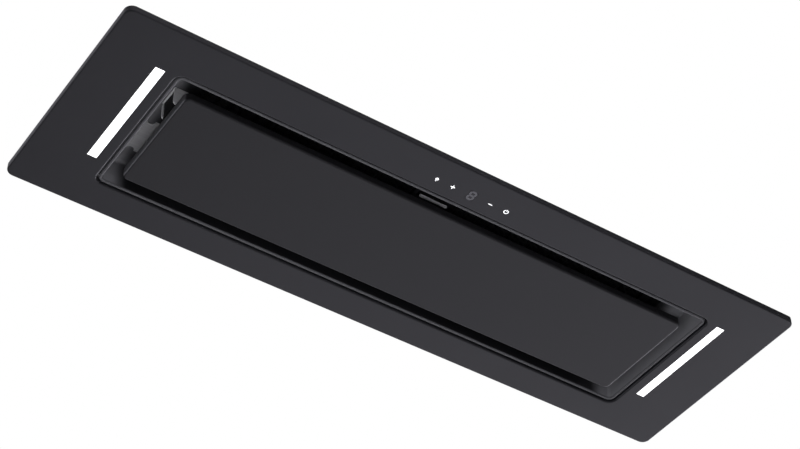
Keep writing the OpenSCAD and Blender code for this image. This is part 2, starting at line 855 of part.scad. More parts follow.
// The coil of the latch spring, swept along its helix with rings of six sides.
module latch_spring() {
    sides = 6;
    rings = 8 * spring_turns;
    wire_r = spring_wire / 2;
    length = spring_l - spring_wire;
    ring_points = [for (i = [0:rings], k = [0:sides - 1])
        let (turn = 360 * spring_turns * i / rings, side = 360 * k / sides,
            r = spring_r - wire_r + wire_r * cos(side))
        [r * cos(turn), wire_r + length * i / rings + wire_r * sin(side), r * sin(turn)]];
    walls = [for (i = [0:rings - 1], k = [0:sides - 1])
        let (a = i * sides + k, b = i * sides + (k + 1) % sides)
        each [[a, b, a + sides], [b, b + sides, a + sides]]];
    cap = [for (k = [1:sides - 2]) [0, k + 1, k]];
    last = rings * sides;
    end_cap = [for (k = [1:sides - 2]) [last, last + k, last + k + 1]];
    color(steel) translate([0, pull_y + pull_t, spring_z])
        polyhedron(points = ring_points, faces = concat(walls, cap, end_cap));
}

// Lights

module led_lens() {
    shoulder_l = led_l + 2 * lens_shoulder;
    shoulder_w = led_w + 2 * lens_shoulder;
    color("white") {
        linear_extrude(sheet_t) square([led_w, led_l], center = true);
        translate([0, 0, sheet_t])
            linear_extrude(lens_flange_t) square([shoulder_w, shoulder_l], center = true);
    }
}

module led_tray() {
    inner_l = led_l + 2 * lens_shoulder + 2 * slot_gap;
    inner_w = led_w + 2 * lens_shoulder + 2 * slot_gap;
    color(steel) translate([0, 0, sheet_t]) difference() {
        linear_extrude(led_tray_h) square([inner_w + 2 * tray_t, inner_l + 2 * tray_t], center = true);
        translate([0, 0, -cut])
            linear_extrude(led_tray_h - tray_t + cut) square([inner_w, inner_l], center = true);
    }
}

module led_board() {
    count = floor(led_l / chip_pitch);
    color([0.9, 0.9, 0.86]) translate([0, 0, sheet_t + led_tray_h - tray_t - board_t]) {
        linear_extrude(board_t) square([led_w + 2 * lens_shoulder, led_l], center = true);
        for (i = [0:count - 1]) translate([0, (i - (count - 1) / 2) * chip_pitch, -chip_h])
            linear_extrude(chip_h) square(chip_w, center = true);
    }
}

module at_light(side) {
    translate([side * led_x, -led_y, 0]) children();
}

module led_lens_left() { at_light(-1) led_lens(); }
module led_lens_right() { at_light(1) led_lens(); }
module led_board_left() { at_light(-1) led_board(); }
module led_board_right() { at_light(1) led_board(); }
module led_tray_left() { at_light(-1) led_tray(); }
module led_tray_right() { at_light(1) led_tray(); }

// Touch controls

module display_window() {
    color([0.25, 0.25, 0.27]) translate([0, -key_y, 0]) {
        linear_extrude(sheet_t) square([window_l, window_w], center = true);
        translate([0, 0, sheet_t]) linear_extrude(guide_h)
            square([window_l + 2 * window_lip, window_w + 2 * window_lip], center = true);
    }
}

module key_light_guides() {
    color("white") for (x = [-key_outer, -key_inner, key_inner, key_outer])
        translate([x, -key_y, sheet_t]) cylinder(r = guide_r, h = guide_h);
}

module touch_board() {
    color([0.1, 0.3, 0.16]) translate([0, -key_y, board_z])
        linear_extrude(board_t) square([board_l, board_w], center = true);
}

module touch_cover() {
    color(dark) translate([0, -key_y, sheet_t]) difference() {
        linear_extrude(key_cover_h) square([key_cover_l, key_cover_w], center = true);
        translate([0, 0, -cut])
            linear_extrude(guide_h + board_t + cut) square([board_l, board_w], center = true);
        translate([0, 0, -cut]) linear_extrude(key_cover_h - key_cover_rim + cut)
            square([board_l - 4 * key_cover_rim, board_w - 2 * key_cover_rim], center = true);
    }
}

// Chassis and cabinet fixings

module cabinet_holes() {
    for (sy = [-1, 1], sz = [-1, 1])
        translate([0, sy * cabinet_hole_dy / 2, cabinet_hole_z + sz * cabinet_hole_dz / 2])
            rotate([0, 90, 0]) cylinder(d = cabinet_hole_d, h = chassis_l + 4 * cut, center = true);
}

module box_screw_places() {
    for (sx = [-1, 1], i = [-1.5:1:1.5])
        translate([sx * (box_l + box_flange) / 2, i * box_w / 4, 0]) children();
}

// The ribs lie on the roof at both ends, beside the terminal box, and along the long walls
// between the cabinet clips.
module chassis_ribs() {
    inner = box_l / 2 + box_flange + rib_inset;
    outer = chassis_l / 2 - rib_inset;
    for (sx = [-1, 1], sy = [-1, 1])
        translate([sx * (inner + outer) / 2, sy * chassis_w / 3, chassis_z])
        children(0);
    both_sides() on_wall(chassis_w / 2, (plate_h + chassis_z) / 2) children(1);
}

module chassis() {
    inner_l = chassis_l - 2 * chassis_t;
    inner_w = chassis_w - 2 * chassis_t;
    roof_rib = chassis_l / 2 - box_l / 2 - box_flange - 2 * rib_inset;
    wall_rib = 2 * clip_x - clip_l - 4 * rib_inset;
    color(zinc) difference() {
        union() {
            translate([0, 0, sheet_t])
                linear_extrude(chassis_z - sheet_t) round_rect(chassis_l, chassis_w, bend_r);
            chassis_ribs() {
                rib(roof_rib);
                rib(wall_rib);
            }
        }
        translate([0, 0, sheet_t + chassis_t]) linear_extrude(roof_z - sheet_t - chassis_t)
            round_rect(inner_l, inner_w, bend_r - chassis_t);
        translate([0, 0, -cut]) linear_extrude(sheet_t + chassis_t + 2 * cut)
            square([chassis_l - 2 * chassis_flange, chassis_w - 2 * chassis_flange], center = true);
        translate([0, 0, roof_z - cut])
            linear_extrude(chassis_t + 2 * cut) square([roof_hole_l, roof_hole_w], center = true);
        chassis_ribs() {
            rib_hollow(roof_rib);
            rib_hollow(wall_rib);
        }
        cabinet_holes();
        box_screw_places() translate([0, 0, roof_z - cut])
            cylinder(r = screw_r + pin_fit, h = chassis_t + 2 * cut);
    }
}

// A spring clip: a foot on the chassis wall and a tongue that stands off it.
module clip_section() {
    tip = clip_reach - clip_t;
    polygon([[0, 0], [clip_t, 0], [clip_t, clip_root], [clip_reach, clip_h],
        [tip, clip_h + 0.75 * clip_t], [0, clip_root + 1.25 * clip_t]]);
}

module clip_places() {
    for (sx = [-1, 1], turn = [0, 180])
        rotate(turn) translate([sx * clip_x, chassis_w / 2, chassis_z - clip_drop]) children();
}

module clip_hole_places() {
    for (sx = [-1, 1]) translate([sx * clip_l / 4, 0, clip_hole_z]) rotate([-90, 0, 0]) children();
}

module cabinet_clips() {
    color(steel) clip_places() difference() {
        translate([-clip_l / 2, 0, 0]) rotate([90, 0, 90]) linear_extrude(clip_l) clip_section();
        clip_hole_places() translate([0, 0, -cut]) cylinder(r = screw_r + pin_fit, h = clip_t + 2 * cut);
    }
}

module clip_rivets() {
    color(zinc) clip_places() clip_hole_places() {
        cylinder(r = screw_r, h = clip_t);
        translate([0, 0, clip_t]) cylinder(r = screw_head_r, h = rivet_head_t);
    }
}

// One rib along each long wall and one across each end wall of the blower box.
module box_ribs() {
    mid = (chassis_z + box_z) / 2;
    both_sides() on_wall(box_w / 2, mid) children(0);
    both_sides() rotate(90) on_wall(box_l / 2, mid) children(1);
}

module blower_box() {
    h = box_z - chassis_z;
    side_rib = box_l - 4 * rib_inset;
    end_rib = box_w - 4 * rib_inset;
    color(zinc) difference() {
        union() {
            translate([0, 0, chassis_z]) linear_extrude(h) round_rect(box_l, box_w, bend_r);
            translate([0, 0, chassis_z])
                linear_extrude(chassis_t) round_rect(box_l + 2 * box_flange, box_w, bend_r);
            box_ribs() {
                rib(side_rib);
                rib(end_rib);
            }
        }
        translate([0, 0, chassis_z - cut]) linear_extrude(h - chassis_t + cut)
            round_rect(box_l - 2 * chassis_t, box_w - 2 * chassis_t, bend_r - chassis_t);
        box_ribs() {
            rib_hollow(side_rib);
            rib_hollow(end_rib);
        }
        translate([0, spigot_y, box_z - 2 * chassis_t])
            linear_extrude(4 * chassis_t) square([scroll_w, outlet_w], center = true);
        box_screw_places() translate([0, 0, chassis_z - cut])
            cylinder(r = screw_r + pin_fit, h = chassis_t + 2 * cut);
        spigot_screw_places() translate([0, 0, box_z - 2 * chassis_t])
            cylinder(r = screw_r + pin_fit, h = 3 * chassis_t);
    }
}

module box_screws() {
    color(steel) box_screw_places() translate([0, 0, chassis_z + chassis_t]) screw(screw_l);
}

// Blower

// The inside of the scroll, grown outward by a wall. Each arc is a quarter circle whose
// centre steps away from the last, so that the arcs meet smoothly.
module scroll_outline(grow, top) {
    s = half_step;
    r = scroll_r;
    arcs = [[-s, -s, r, 90], [s, -s, r + scroll_step, 180], [s, s, r + 2 * scroll_step, 270]];
    for (arc = arcs)
        translate([arc[0], arc[1]]) intersection() {
            circle(r = arc[2] + grow);
            rotate(arc[3]) square(2 * arc[2]);
        }
    translate([-s, -s]) square([outlet_x0 - grow + s, tongue_z1 + grow + s]);
    translate([outlet_x0 - grow, -s]) square([outlet_w + grow - r, top + s]);
    translate([s, s]) square([outlet_x1 - s + grow, tongue_z1 - s]);
    translate([outlet_x0 - grow, s]) square([outlet_w + 2 * grow, top - s]);
}

// Places a flat outline across the hood, at the fan axis, with its depth along +X.
module at_fan() {
    translate([0, -fan_y, fan_z]) rotate([90, 0, 90]) children();
}

module scroll_band() {
    color(zinc) at_fan() translate([0, 0, -scroll_w / 2]) linear_extrude(scroll_w) difference() {
        scroll_outline(scroll_t, outlet_h);
        scroll_outline(0, outlet_h + cut);
    }
}

// A side plate with its flared inlet, in the fan's own plane with the flare along +Z.
module scroll_side() {
    flare = inlet_flare;
    lip_r = inlet_r + flare + inlet_lip;
    difference() {
        linear_extrude(scroll_t) scroll_outline(rim_w, outlet_h);
        translate([0, 0, -cut]) cylinder(r = inlet_r + flare, h = scroll_t + 2 * cut);
    }
    rotate_extrude() translate([inlet_r + flare, 0]) intersection() {
        difference() {
            circle(r = flare);
            circle(r = flare - scroll_t);
        }
        translate([-flare, 0]) square(flare);
    }
    rotate_extrude() translate([inlet_r + flare, flare - scroll_t]) square([inlet_lip, scroll_t]);
    difference() {
        cylinder(r = lip_r, h = flare);
        translate([0, 0, -cut]) cylinder(r = lip_r - scroll_t, h = flare + 2 * cut);
    }
}

module scroll_side_left() {
    color(zinc) at_fan() translate([0, 0, -side_x]) mirror([0, 0, 1]) scroll_side();
}

module scroll_side_right() {
    color(zinc) at_fan() translate([0, 0, side_x]) scroll_side();
}

// One forward-curved blade between the inner and the outer radius.
module blade() {
    steps = 4;
    inner_r = impeller_r - blade_depth;
    half_angle = asin(blade_t / 2 / impeller_r);
    sweep = [for (i = [0:steps]) let (t = i / steps) [inner_r + blade_depth * t, impeller_tilt * t * t]];
    back = [for (p = sweep) p[0] * [cos(p[1] - half_angle), sin(p[1] - half_angle)]];
    front = [for (i = [steps:-1:0]) let (p = sweep[i])
        p[0] * [cos(p[1] + half_angle), sin(p[1] + half_angle)]];
    polygon(concat(back, front));
}

module impeller() {
    rim_r = impeller_r + 1;
    color(dark) at_fan() difference() {
        union() {
            translate([0, 0, -impeller_w / 2]) linear_extrude(impeller_w)
                for (i = [0:blade_count - 1]) rotate(360 * i / blade_count) blade();
            for (s = [0, 1]) mirror([0, 0, s]) translate([0, 0, impeller_w / 2 - ring_w]) difference() {
                cylinder(r = rim_r, h = ring_w);
                translate([0, 0, -cut]) cylinder(r = rim_r - ring_depth, h = ring_w + 2 * cut);
            }
            translate([0, 0, -disc_t / 2]) cylinder(r = impeller_r - blade_depth + 2, h = disc_t);
            translate([0, 0, -hub_l / 2]) cylinder(r = hub_r, h = hub_l);
        }
        translate([0, 0, -hub_l]) cylinder(r = shaft_r + pin_fit, h = 2 * hub_l);
    }
}

module motor_shaft() {
    color(steel) at_fan() translate([0, 0, shaft_x0])
        cylinder(r = shaft_r, h = motor_x0 + motor_l - motor_end_t - shaft_x0);
}

module motor() {
    fin_count = 12;
    color(steel) at_fan() difference() {
        union() {
            translate([0, 0, motor_x0]) cylinder(r = motor_r, h = motor_l);
            for (i = [0:fin_count - 1]) rotate(360 * i / fin_count)
                translate([motor_r - 1, -fin_t / 2, motor_x0 + motor_end_t])
                cube([fin_h + 1, fin_t, motor_l - 2 * motor_end_t - bracket_grip + 2]);
            translate([0, 0, motor_x0 + motor_l]) cylinder(r = boss_r, h = boss_h);
        }
        translate([0, 0, motor_x0 - cut]) cylinder(r = shaft_r + pin_fit, h = motor_l - motor_end_t + cut);
    }
}

// The three arms of the motor bracket and what they stand on.
module arm_places() {
    for (i = [0:2]) rotate(120 * i + 30) children();
}

// A ring clamped round the rear of the motor, with three arms out to the bushes.
module motor_bracket() {
    ring_z0 = motor_x0 + motor_l - bracket_grip;
    ring_z1 = bracket_x + bracket_t;
    color(zinc) at_fan() difference() {
        union() {
            translate([0, 0, ring_z0])
                cylinder(r = motor_r + pin_fit + bracket_ring_t, h = ring_z1 - ring_z0);
            translate([0, 0, bracket_x]) arm_places() linear_extrude(bracket_t) {
                translate([motor_r, -motor_arm_w / 2]) square([bush_pcd - motor_r, motor_arm_w]);
                translate([bush_pcd, 0]) circle(d = motor_arm_w);
            }
        }
        translate([0, 0, motor_x0]) cylinder(r = motor_r + pin_fit, h = motor_l + ring_z1);
        arm_places() translate([bush_pcd, 0, bracket_x - cut])
            cylinder(r = screw_r + pin_fit, h = bracket_t + 2 * cut);
    }
}

module motor_bushes() {
    color(dark) at_fan() arm_places() translate([bush_pcd, 0, side_x + scroll_t]) {
        cylinder(r = bush_r, h = bush_h);
        cylinder(r = screw_r, h = bush_h + bracket_t);
        translate([0, 0, bush_h + bracket_t]) cylinder(r = screw_head_r, h = bush_head_h);
    }
}

module capacitor() {
    color(light_grey) translate([capacitor_x, capacitor_y, capacitor_z]) {
        cylinder(r = capacitor_r, h = capacitor_h);
        translate([0, 0, capacitor_h]) cylinder(r = capacitor_r - capacitor_cap, h = capacitor_cap);
    }
}

module capacitor_clip() {
    r = capacitor_r + pin_fit;
    wall_x = -box_l / 2 + chassis_t;
    color(steel) translate([0, 0, capacitor_z + capacitor_h / 2]) difference() {
        union() {
            translate([capacitor_x, capacitor_y, 0]) cylinder(r = r + strap_t, h = strap_h);
            translate([wall_x, capacitor_y - strap_w / 2, 0])
                cube([capacitor_x - wall_x, strap_w, strap_h]);
        }
        translate([capacitor_x, capacitor_y, -cut]) cylinder(r = r, h = strap_h + 2 * cut);
    }
}

// Duct spigot and damper

module spigot_screw_places() {
    for (sx = [-1, 1], sy = [-1, 1])
        translate([sx * spigot_screw_d / 2, spigot_y + sy * spigot_screw_d / 2, 0]) children();
}

module spigot() {
    inner_r = spigot_r - spigot_t;
    lug_top = flap_z - flap_t / 2 - seat_gap;
    color(zinc) difference() {
        translate([0, spigot_y, box_z]) {
            linear_extrude(spigot_flange_t) round_rect(spigot_flange, spigot_flange, foot_r);
            cylinder(r = spigot_r, h = spigot_h);
        }
        difference() {
            translate([0, spigot_y, box_z - cut]) cylinder(r = inner_r, h = spigot_h + 2 * cut);
            // The bar between the flaps
            translate([-spigot_r, spigot_y - bar_w / 2, flap_z - bar_h / 2])
                cube([2 * spigot_r, bar_w, bar_h]);
            // The lugs that the closed flaps rest on
            for (sy = [-1, 1])
                translate([-lug_w / 2, spigot_y + sy * (inner_r - lug_depth / 2) - lug_depth / 2, box_z])
                cube([lug_w, lug_depth, lug_top - box_z]);
        }
        for (sy = [-1, 1]) translate([-spigot_r - cut, spigot_y + sy * flap_offset, flap_z])
            rotate([0, 90, 0]) cylinder(r = flap_pin_r + pin_fit, h = 2 * spigot_r + 2 * cut);
        spigot_screw_places() translate([0, 0, box_z - cut])
            cylinder(r = screw_r + pin_fit, h = spigot_flange_t + 2 * cut);
    }
}

module spigot_screws() {
    color(steel) spigot_screw_places() translate([0, 0, box_z + spigot_flange_t]) screw(screw_l);
}

// A flap on its hub, with the hub axis at y = 0 and the flap towards -Y.
module damper_flap() {
    difference() {
        union() {
            translate([0, 0, -flap_t / 2]) linear_extrude(flap_t) intersection() {
                translate([0, flap_offset]) circle(r = flap_r);
                translate([-flap_r, -flap_r]) square([2 * flap_r, flap_r]);
            }
            rotate([0, 90, 0]) cylinder(r = flap_hub_r, h = flap_hub_l, center = true);
        }
        rotate([0, 90, 0]) cylinder(r = flap_pin_r + pin_fit, h = 4 * flap_r, center = true);
    }
}

module damper_flap_near() {
    color(steel) translate([0, spigot_y - flap_offset, flap_z]) damper_flap();
}

module damper_flap_far() {
    color(steel) translate([0, spigot_y + flap_offset, flap_z]) mirror([0, 1, 0]) damper_flap();
}

// The pins end inside the spigot's wall, so that a duct slides over it.
module damper_pins() {
    color(zinc) for (sy = [-1, 1]) translate([0, spigot_y + sy * flap_offset, flap_z]) rotate([0, 90, 0])
        cylinder(r = flap_pin_r, h = 2 * (spigot_r - flap_pin_end), center = true);
}

// Electrical parts

module terminal_box() {
    inner_l = terminal_l - 2 * terminal_t;
    inner_w = terminal_w - 2 * terminal_t;
    color(dark) translate([terminal_x, 0, chassis_z]) difference() {
        linear_extrude(terminal_h) round_rect(terminal_l, terminal_w, terminal_r);
        translate([0, 0, terminal_t])
            linear_extrude(terminal_h) round_rect(inner_l, inner_w, terminal_r - terminal_t);
        translate([terminal_l / 2 - terminal_t - cut, 0, terminal_h / 2]) rotate([0, 90, 0])
            cylinder(r = gland_r - terminal_t + pin_fit, h = terminal_t + 2 * cut);
    }
}

module terminal_lid() {
    rim = terminal_t + slot_gap;
    color(dark) translate([terminal_x, 0, chassis_z + terminal_h]) {
        linear_extrude(terminal_t) round_rect(terminal_l, terminal_w, terminal_r);
        translate([0, 0, -lid_rim_h]) linear_extrude(lid_rim_h) difference() {
            round_rect(terminal_l - 2 * rim, terminal_w - 2 * rim, terminal_r - rim);
            square([terminal_l - 4 * terminal_t, terminal_w - 4 * terminal_t], center = true);
        }
    }
}

// A hexagon, by its width across the flats.
module hexagon(flats) {
    polygon([for (i = [0:5]) flats / sqrt(3) * [cos(60 * i), sin(60 * i)]]);
}

module cable_gland() {
    inner = terminal_t + gland_neck;
    color(dark) translate([terminal_x + terminal_l / 2, 0, chassis_z + terminal_h / 2])
        rotate([0, 90, 0]) difference() {
        union() {
            linear_extrude(gland_l / 2) hexagon(2 * gland_r);
            translate([0, 0, gland_l / 2]) cylinder(r = gland_r - gland_step, h = gland_l / 2);
            translate([0, 0, -inner]) cylinder(r = gland_r - terminal_t, h = inner);
        }
        translate([0, 0, -inner - cut]) cylinder(r = gland_bore_r, h = gland_l + inner + 2 * cut);
    }
}

// A case screwed under the roof, with a foot at each end.
module roof_case(l, w, h) {
    translate([0, 0, roof_z - h]) linear_extrude(h) round_rect(l, w, case_r);
    translate([0, 0, roof_z - case_foot_t]) linear_extrude(case_foot_t) difference() {
        round_rect(l + 2 * case_foot_l, w / 2, case_r);
        for (sx = [-1, 1]) translate([sx * (l + case_foot_l) / 2, 0]) circle(r = screw_r);
    }
}

module led_driver() {
    color(light_grey) translate([driver_x, 0, 0])
        roof_case(driver_l, driver_w, driver_h);
}

module control_box() {
    color(dark) translate([-control_x, 0, 0])
        roof_case(control_l, control_w, control_h);
}

face_plate();
recess_collar();
perimeter_panel();
panel_stiffeners();
panel_hinge_arms();
striker_plates();
hinge_brackets();
hinge_pins();
catch_brackets();
catch_bodies();
catch_magnets();
filter_frame();
filter_core();
latch_housing();
filter_latch();
latch_spring();
led_lens_left();
led_lens_right();
led_board_left();
led_board_right();
led_tray_left();
led_tray_right();
display_window();
key_light_guides();
touch_board();
touch_cover();
chassis();
cabinet_clips();
clip_rivets();
blower_box();
box_screws();
scroll_band();
scroll_side_left();
scroll_side_right();
impeller();
motor_shaft();
motor();
motor_bracket();
motor_bushes();
capacitor();
capacitor_clip();
spigot();
spigot_screws();
damper_flap_near();
damper_flap_far();
damper_pins();
terminal_box();
terminal_lid();
cable_gland();
led_driver();
control_box();
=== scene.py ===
# %% [markdown]
# An undermount range hood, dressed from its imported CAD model.
# A range hood of this kind sits inside a wall cabinet, and only its flat black underside is seen
# from the room. The CAD model holds every piece at its real size, in metres. It could be modelled
# again in Blender, but then the two models would drift apart, so the script loads it as a fixed
# frame and adds only finishes, light, and details too small for the CAD model.

import math

import bmesh
import bpy
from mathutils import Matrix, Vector


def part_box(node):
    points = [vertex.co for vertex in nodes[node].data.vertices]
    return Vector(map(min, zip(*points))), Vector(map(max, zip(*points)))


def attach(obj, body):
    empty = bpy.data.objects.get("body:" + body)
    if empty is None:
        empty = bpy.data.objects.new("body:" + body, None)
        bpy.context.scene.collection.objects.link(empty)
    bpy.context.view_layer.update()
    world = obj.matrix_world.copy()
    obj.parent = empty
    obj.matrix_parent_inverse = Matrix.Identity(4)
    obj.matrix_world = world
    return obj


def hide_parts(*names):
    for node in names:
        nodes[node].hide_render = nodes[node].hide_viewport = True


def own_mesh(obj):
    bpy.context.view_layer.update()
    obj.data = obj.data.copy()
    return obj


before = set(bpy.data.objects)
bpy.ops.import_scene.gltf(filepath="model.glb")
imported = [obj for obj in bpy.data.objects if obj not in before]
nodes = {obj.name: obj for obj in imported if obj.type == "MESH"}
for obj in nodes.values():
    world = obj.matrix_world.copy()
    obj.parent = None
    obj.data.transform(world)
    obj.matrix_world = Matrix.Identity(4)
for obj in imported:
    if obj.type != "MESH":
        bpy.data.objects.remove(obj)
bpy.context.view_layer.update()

# %% [markdown]
# The camera of the photograph.
# The photograph was taken from below, from the left and from the user's side. The camera could be
# placed by eye, but then every other comparison would be off by a little. Its place, angles and
# lens come from the four corners of the face plate and the straight edges that run along and
# across it. A sensor of 36 mm is Blender's own, and the lens is given for that width.

# %% Camera
CAMERA_PLACE = (-0.99008, -1.43574, -1.57744)
CAMERA_TURN = (132.884, 0.223, -33.786)
CAMERA_LENS = 92.28
SENSOR_WIDTH = 36.0
NEAREST_SEEN = 0.05
FARTHEST_SEEN = 200.0

camera_data = bpy.data.cameras.new("camera")
camera_data.lens = CAMERA_LENS
camera_data.sensor_width = SENSOR_WIDTH
camera_data.clip_start = NEAREST_SEEN
camera_data.clip_end = FARTHEST_SEEN
camera = bpy.data.objects.new("camera", camera_data)
camera.location = CAMERA_PLACE
camera.rotation_euler = [math.radians(angle) for angle in CAMERA_TURN]
scene = bpy.context.scene
scene.collection.objects.link(camera)
scene.camera = camera
scene.view_settings.view_transform = "Standard"
print("camera lens:", camera_data.lens, "mm, place:", tuple(camera.location))

# %% [markdown]
# Two small helpers for every material.
# Colours are picked as hex values, which are in sRGB, while Blender's shaders count in linear
# light, so one function turns the first into the second. A material is a tree of nodes. Each node
# could be made, set and linked on lines of its own, but that soon hides what the material is, so
# one function adds a node with its settings and its links.


# %% Helpers for colour and nodes
def linear(shade):
    """Turns a colour such as '2b2a2e' into linear red, green, blue and alpha."""
    values = [int(shade[i : i + 2], 16) / 255 for i in (0, 2, 4)]
    light = [v / 12.92 if v <= 0.04045 else ((v + 0.055) / 1.055) ** 2.4 for v in values]
    return (*light, 1.0)


def add(tree, kind, settings=(), links=()):
    """Adds one node. Settings name a property or socket, links name a socket and its source."""
    node = tree.nodes.new("ShaderNode" + kind)
    for key, value in dict(settings).items():
        if isinstance(key, str) and hasattr(node, key):
            setattr(node, key, value)
        else:
            node.inputs[key].default_value = value
    for key, source in dict(links).items():
        tree.links.new(source, node.inputs[key])
    return node


print("linear light of a mid grey:", [round(v, 3) for v in linear("808080")])

# %% [markdown]
# What the black sheet mirrors.
# A black, satin sheet has hardly any colour of its own. What one sees on it is the room that it
# mirrors, so the room matters as much as the finish. A photo of a studio could be wrapped round
# the scene, but a few soft patches of light say the same. In each direction the sky is a base value
# with patches added: a patch is full inside its inner angle and gone beyond its outer angle.

# %% Patches of the sky
# Each patch: direction, inner angle, outer angle, added radiance
SKY_PATCHES = {
    "low window on the right": ((0.66, 0.54, -0.52), 2, 44, 0.54),
    "soft light straight below": ((0.42, -0.03, -0.90), 4, 36, 0.50),
    "far wall": ((0.42, 0.90, -0.10), 6, 40, 0.50),
    "bright strip on the far right": ((0.88, 0.46, 0.05), 3, 28, 2.0),
    "doorway on the right": ((0.78, 0.60, -0.17), 3, 16, 3.5),
    "bright strip on the far left": ((-0.72, 0.65, -0.25), 3, 24, 1.2),
    "sky over the far left": ((-0.245, 0.652, 0.716), 10, 50, 0.45),
    "pale wall behind the user": ((0.0, -1.0, 0.0), 5, 36, 0.45),
    "pale wall on the left": ((-1.0, -0.2, 0.12), 5, 38, 0.40),
    "pale wall on the right": ((1.0, -0.3, 0.12), 5, 35, 0.40),
    "ceiling light": ((0.0, -0.2, 1.0), 8, 40, 0.85),
}
print("sky patches:", ", ".join(SKY_PATCHES))

# %% [markdown]
# The sky.
# The world is a tree of nodes, as a material is. The patches could be painted into a picture of
# the sky, but a few nodes give a smooth one with no picture at all: the dot product of two
# directions is the cosine of the angle between them, and a smooth step turns it into a soft patch.
# The camera itself sees plain white, like the paper background of the photograph.

# %% World
SKY_BASE = 0.03
DARKEST_SKY = 0.01
WHITE = linear("ffffff")
SKY_TINT = linear("f6f4ff")

world = bpy.data.worlds.new("studio")
scene.world = world
world.use_nodes = True
sky = world.node_tree
sky.nodes.clear()
direction = add(sky, "TexCoord").outputs["Generated"]
radiance = None
for aim, inner, outer, strength in SKY_PATCHES.values():
    facing = add(
        sky,
        "VectorMath",
        {"operation": "DOT_PRODUCT", 1: Vector(aim).normalized()},
        {0: direction},
    )
    lobe = add(
        sky,
        "MapRange",
        {
            "interpolation_type": "SMOOTHSTEP",
            "From Min": math.cos(math.radians(outer)),
            "From Max": math.cos(math.radians(inner)),
            "To Min": SKY_BASE if radiance is None else 0.0,
            "To Max": strength + (SKY_BASE if radiance is None else 0.0),
        },
        {"Value": facing.outputs["Value"]},
    ).outputs["Result"]
    if radiance is None:
        radiance = lobe
    else:
        radiance = add(sky, "Math", {"operation": "ADD"}, {0: radiance, 1: lobe}).outputs[0]
radiance = add(sky, "Math", {"operation": "MAXIMUM", 1: DARKEST_SKY}, {0: radiance}).outputs[0]
mirrored = add(sky, "Background", {"Color": SKY_TINT}, {"Strength": radiance})
paper = add(sky, "Background", {"Color": WHITE, "Strength": 1.0})
seen = add(sky, "LightPath").outputs["Is Camera Ray"]
both = add(
    sky,
    "MixShader",
    (),
    {0: seen, 1: mirrored.outputs[0], 2: paper.outputs[0]},
)
add(sky, "OutputWorld", (), {"Surface": both.outputs[0]})
print("sky made of", len(sky.nodes), "nodes")

# %% [markdown]
# A pale floor and soft lamps.
# The hood hangs under a cabinet, and views from below put the camera far under it, so the floor
# lies deep below. Soft light comes from large area lamps: the bigger a lamp, the softer its
# shadows. Four small lamps under the ends reach into the suction gap. They are hidden from mirror
# rays, so that the black sheet doesn't show them as bright spots.

# %% Floor and lamps
FLOOR_DEPTH = 6.5
FLOOR_HALF = 30.0


def new_object(name, mesh):
    """A Blender object from a bmesh."""
    data = bpy.data.meshes.new(name)
    mesh.to_mesh(data)
    mesh.free()
    piece = bpy.data.objects.new(name, data)
    scene.collection.objects.link(piece)
    return piece


floor_mesh = bmesh.new()
floor_mesh.faces.new(
    floor_mesh.verts.new((sx * FLOOR_HALF, sy * FLOOR_HALF, -FLOOR_DEPTH))
    for sx, sy in ((-1, -1), (1, -1), (1, 1), (-1, 1))
)
floor = new_object("floor", floor_mesh)
floor.visible_glossy = False

# Each lamp: place, point it faces, side length, watts, seen by mirror rays
LAMPS = {
    "key_lamp_above_far": ((2.2, 1.8, 2.8), (0.0, 0.0, 0.1), 2.4, 55, True),
    "fill_lamp_above_near": ((-2.6, -3.0, 2.4), (0.0, 0.0, 0.1), 2.0, 70, False),
    "fill_lamp_below": ((0.6, -1.6, -3.2), (0.0, 0.0, 0.0), 2.5, 25, False),
    "gap_lamp_left": ((-0.42, -0.02, -0.55), (-0.345, 0.0, 0.03), 0.25, 0.7, False),
    "gap_lamp_near_corner": ((-0.55, -0.36, -0.45), (-0.335, -0.07, 0.03), 0.12, 0.9, False),
    "gap_lamp_right_corner": ((0.02, -0.38, -0.40), (0.325, -0.045, 0.04), 0.06, 0.8, False),
    "gap_lamp_right": ((-0.10, 0.02, -0.62), (0.355, 0.0, 0.01), 0.25, 1.4, False),
}
for lamp, (place, target, side, watts, mirrored_too) in LAMPS.items():
    lamp_data = bpy.data.lights.new(lamp, "AREA")
    lamp_data.shape = "SQUARE"
    lamp_data.size = side
    lamp_data.energy = watts
    lamp_object = bpy.data.objects.new(lamp, lamp_data)
    scene.collection.objects.link(lamp_object)
    lamp_object.location = place
    aim = Vector(target) - Vector(place)
    lamp_object.rotation_euler = aim.to_track_quat("-Z", "Y").to_euler()
    lamp_object.visible_glossy = mirrored_too
print("lamps:", ", ".join(LAMPS))

# %% [markdown]
# The underside of the cabinet.
# The photograph shows the face plate against plain white, and nothing above it is seen. A real
# hood hangs in the bottom board of a wall cabinet in just this way. The parts above could be
# hidden, but they belong to the hood and are seen from the sides and from above. So a white board
# with a hole for the hood lies on the rim of the face plate. It is a backdrop, no part of the hood.
# It has two sheets: the lower one is plain white for the camera alone, and the upper one is a pale
# surface that shows the shadow of the hood. The hole has the corner radius seen in the photograph.

# %% Cabinet board
BOARD_HALF = 30.0
BOARD_LIFT = 0.0001
BOARD_THICK = 0.0003
RIM_COVER = 0.0005
PLATE_CORNER = 0.010
CORNER_STEPS = 8

rim_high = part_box("face_plate")[1]


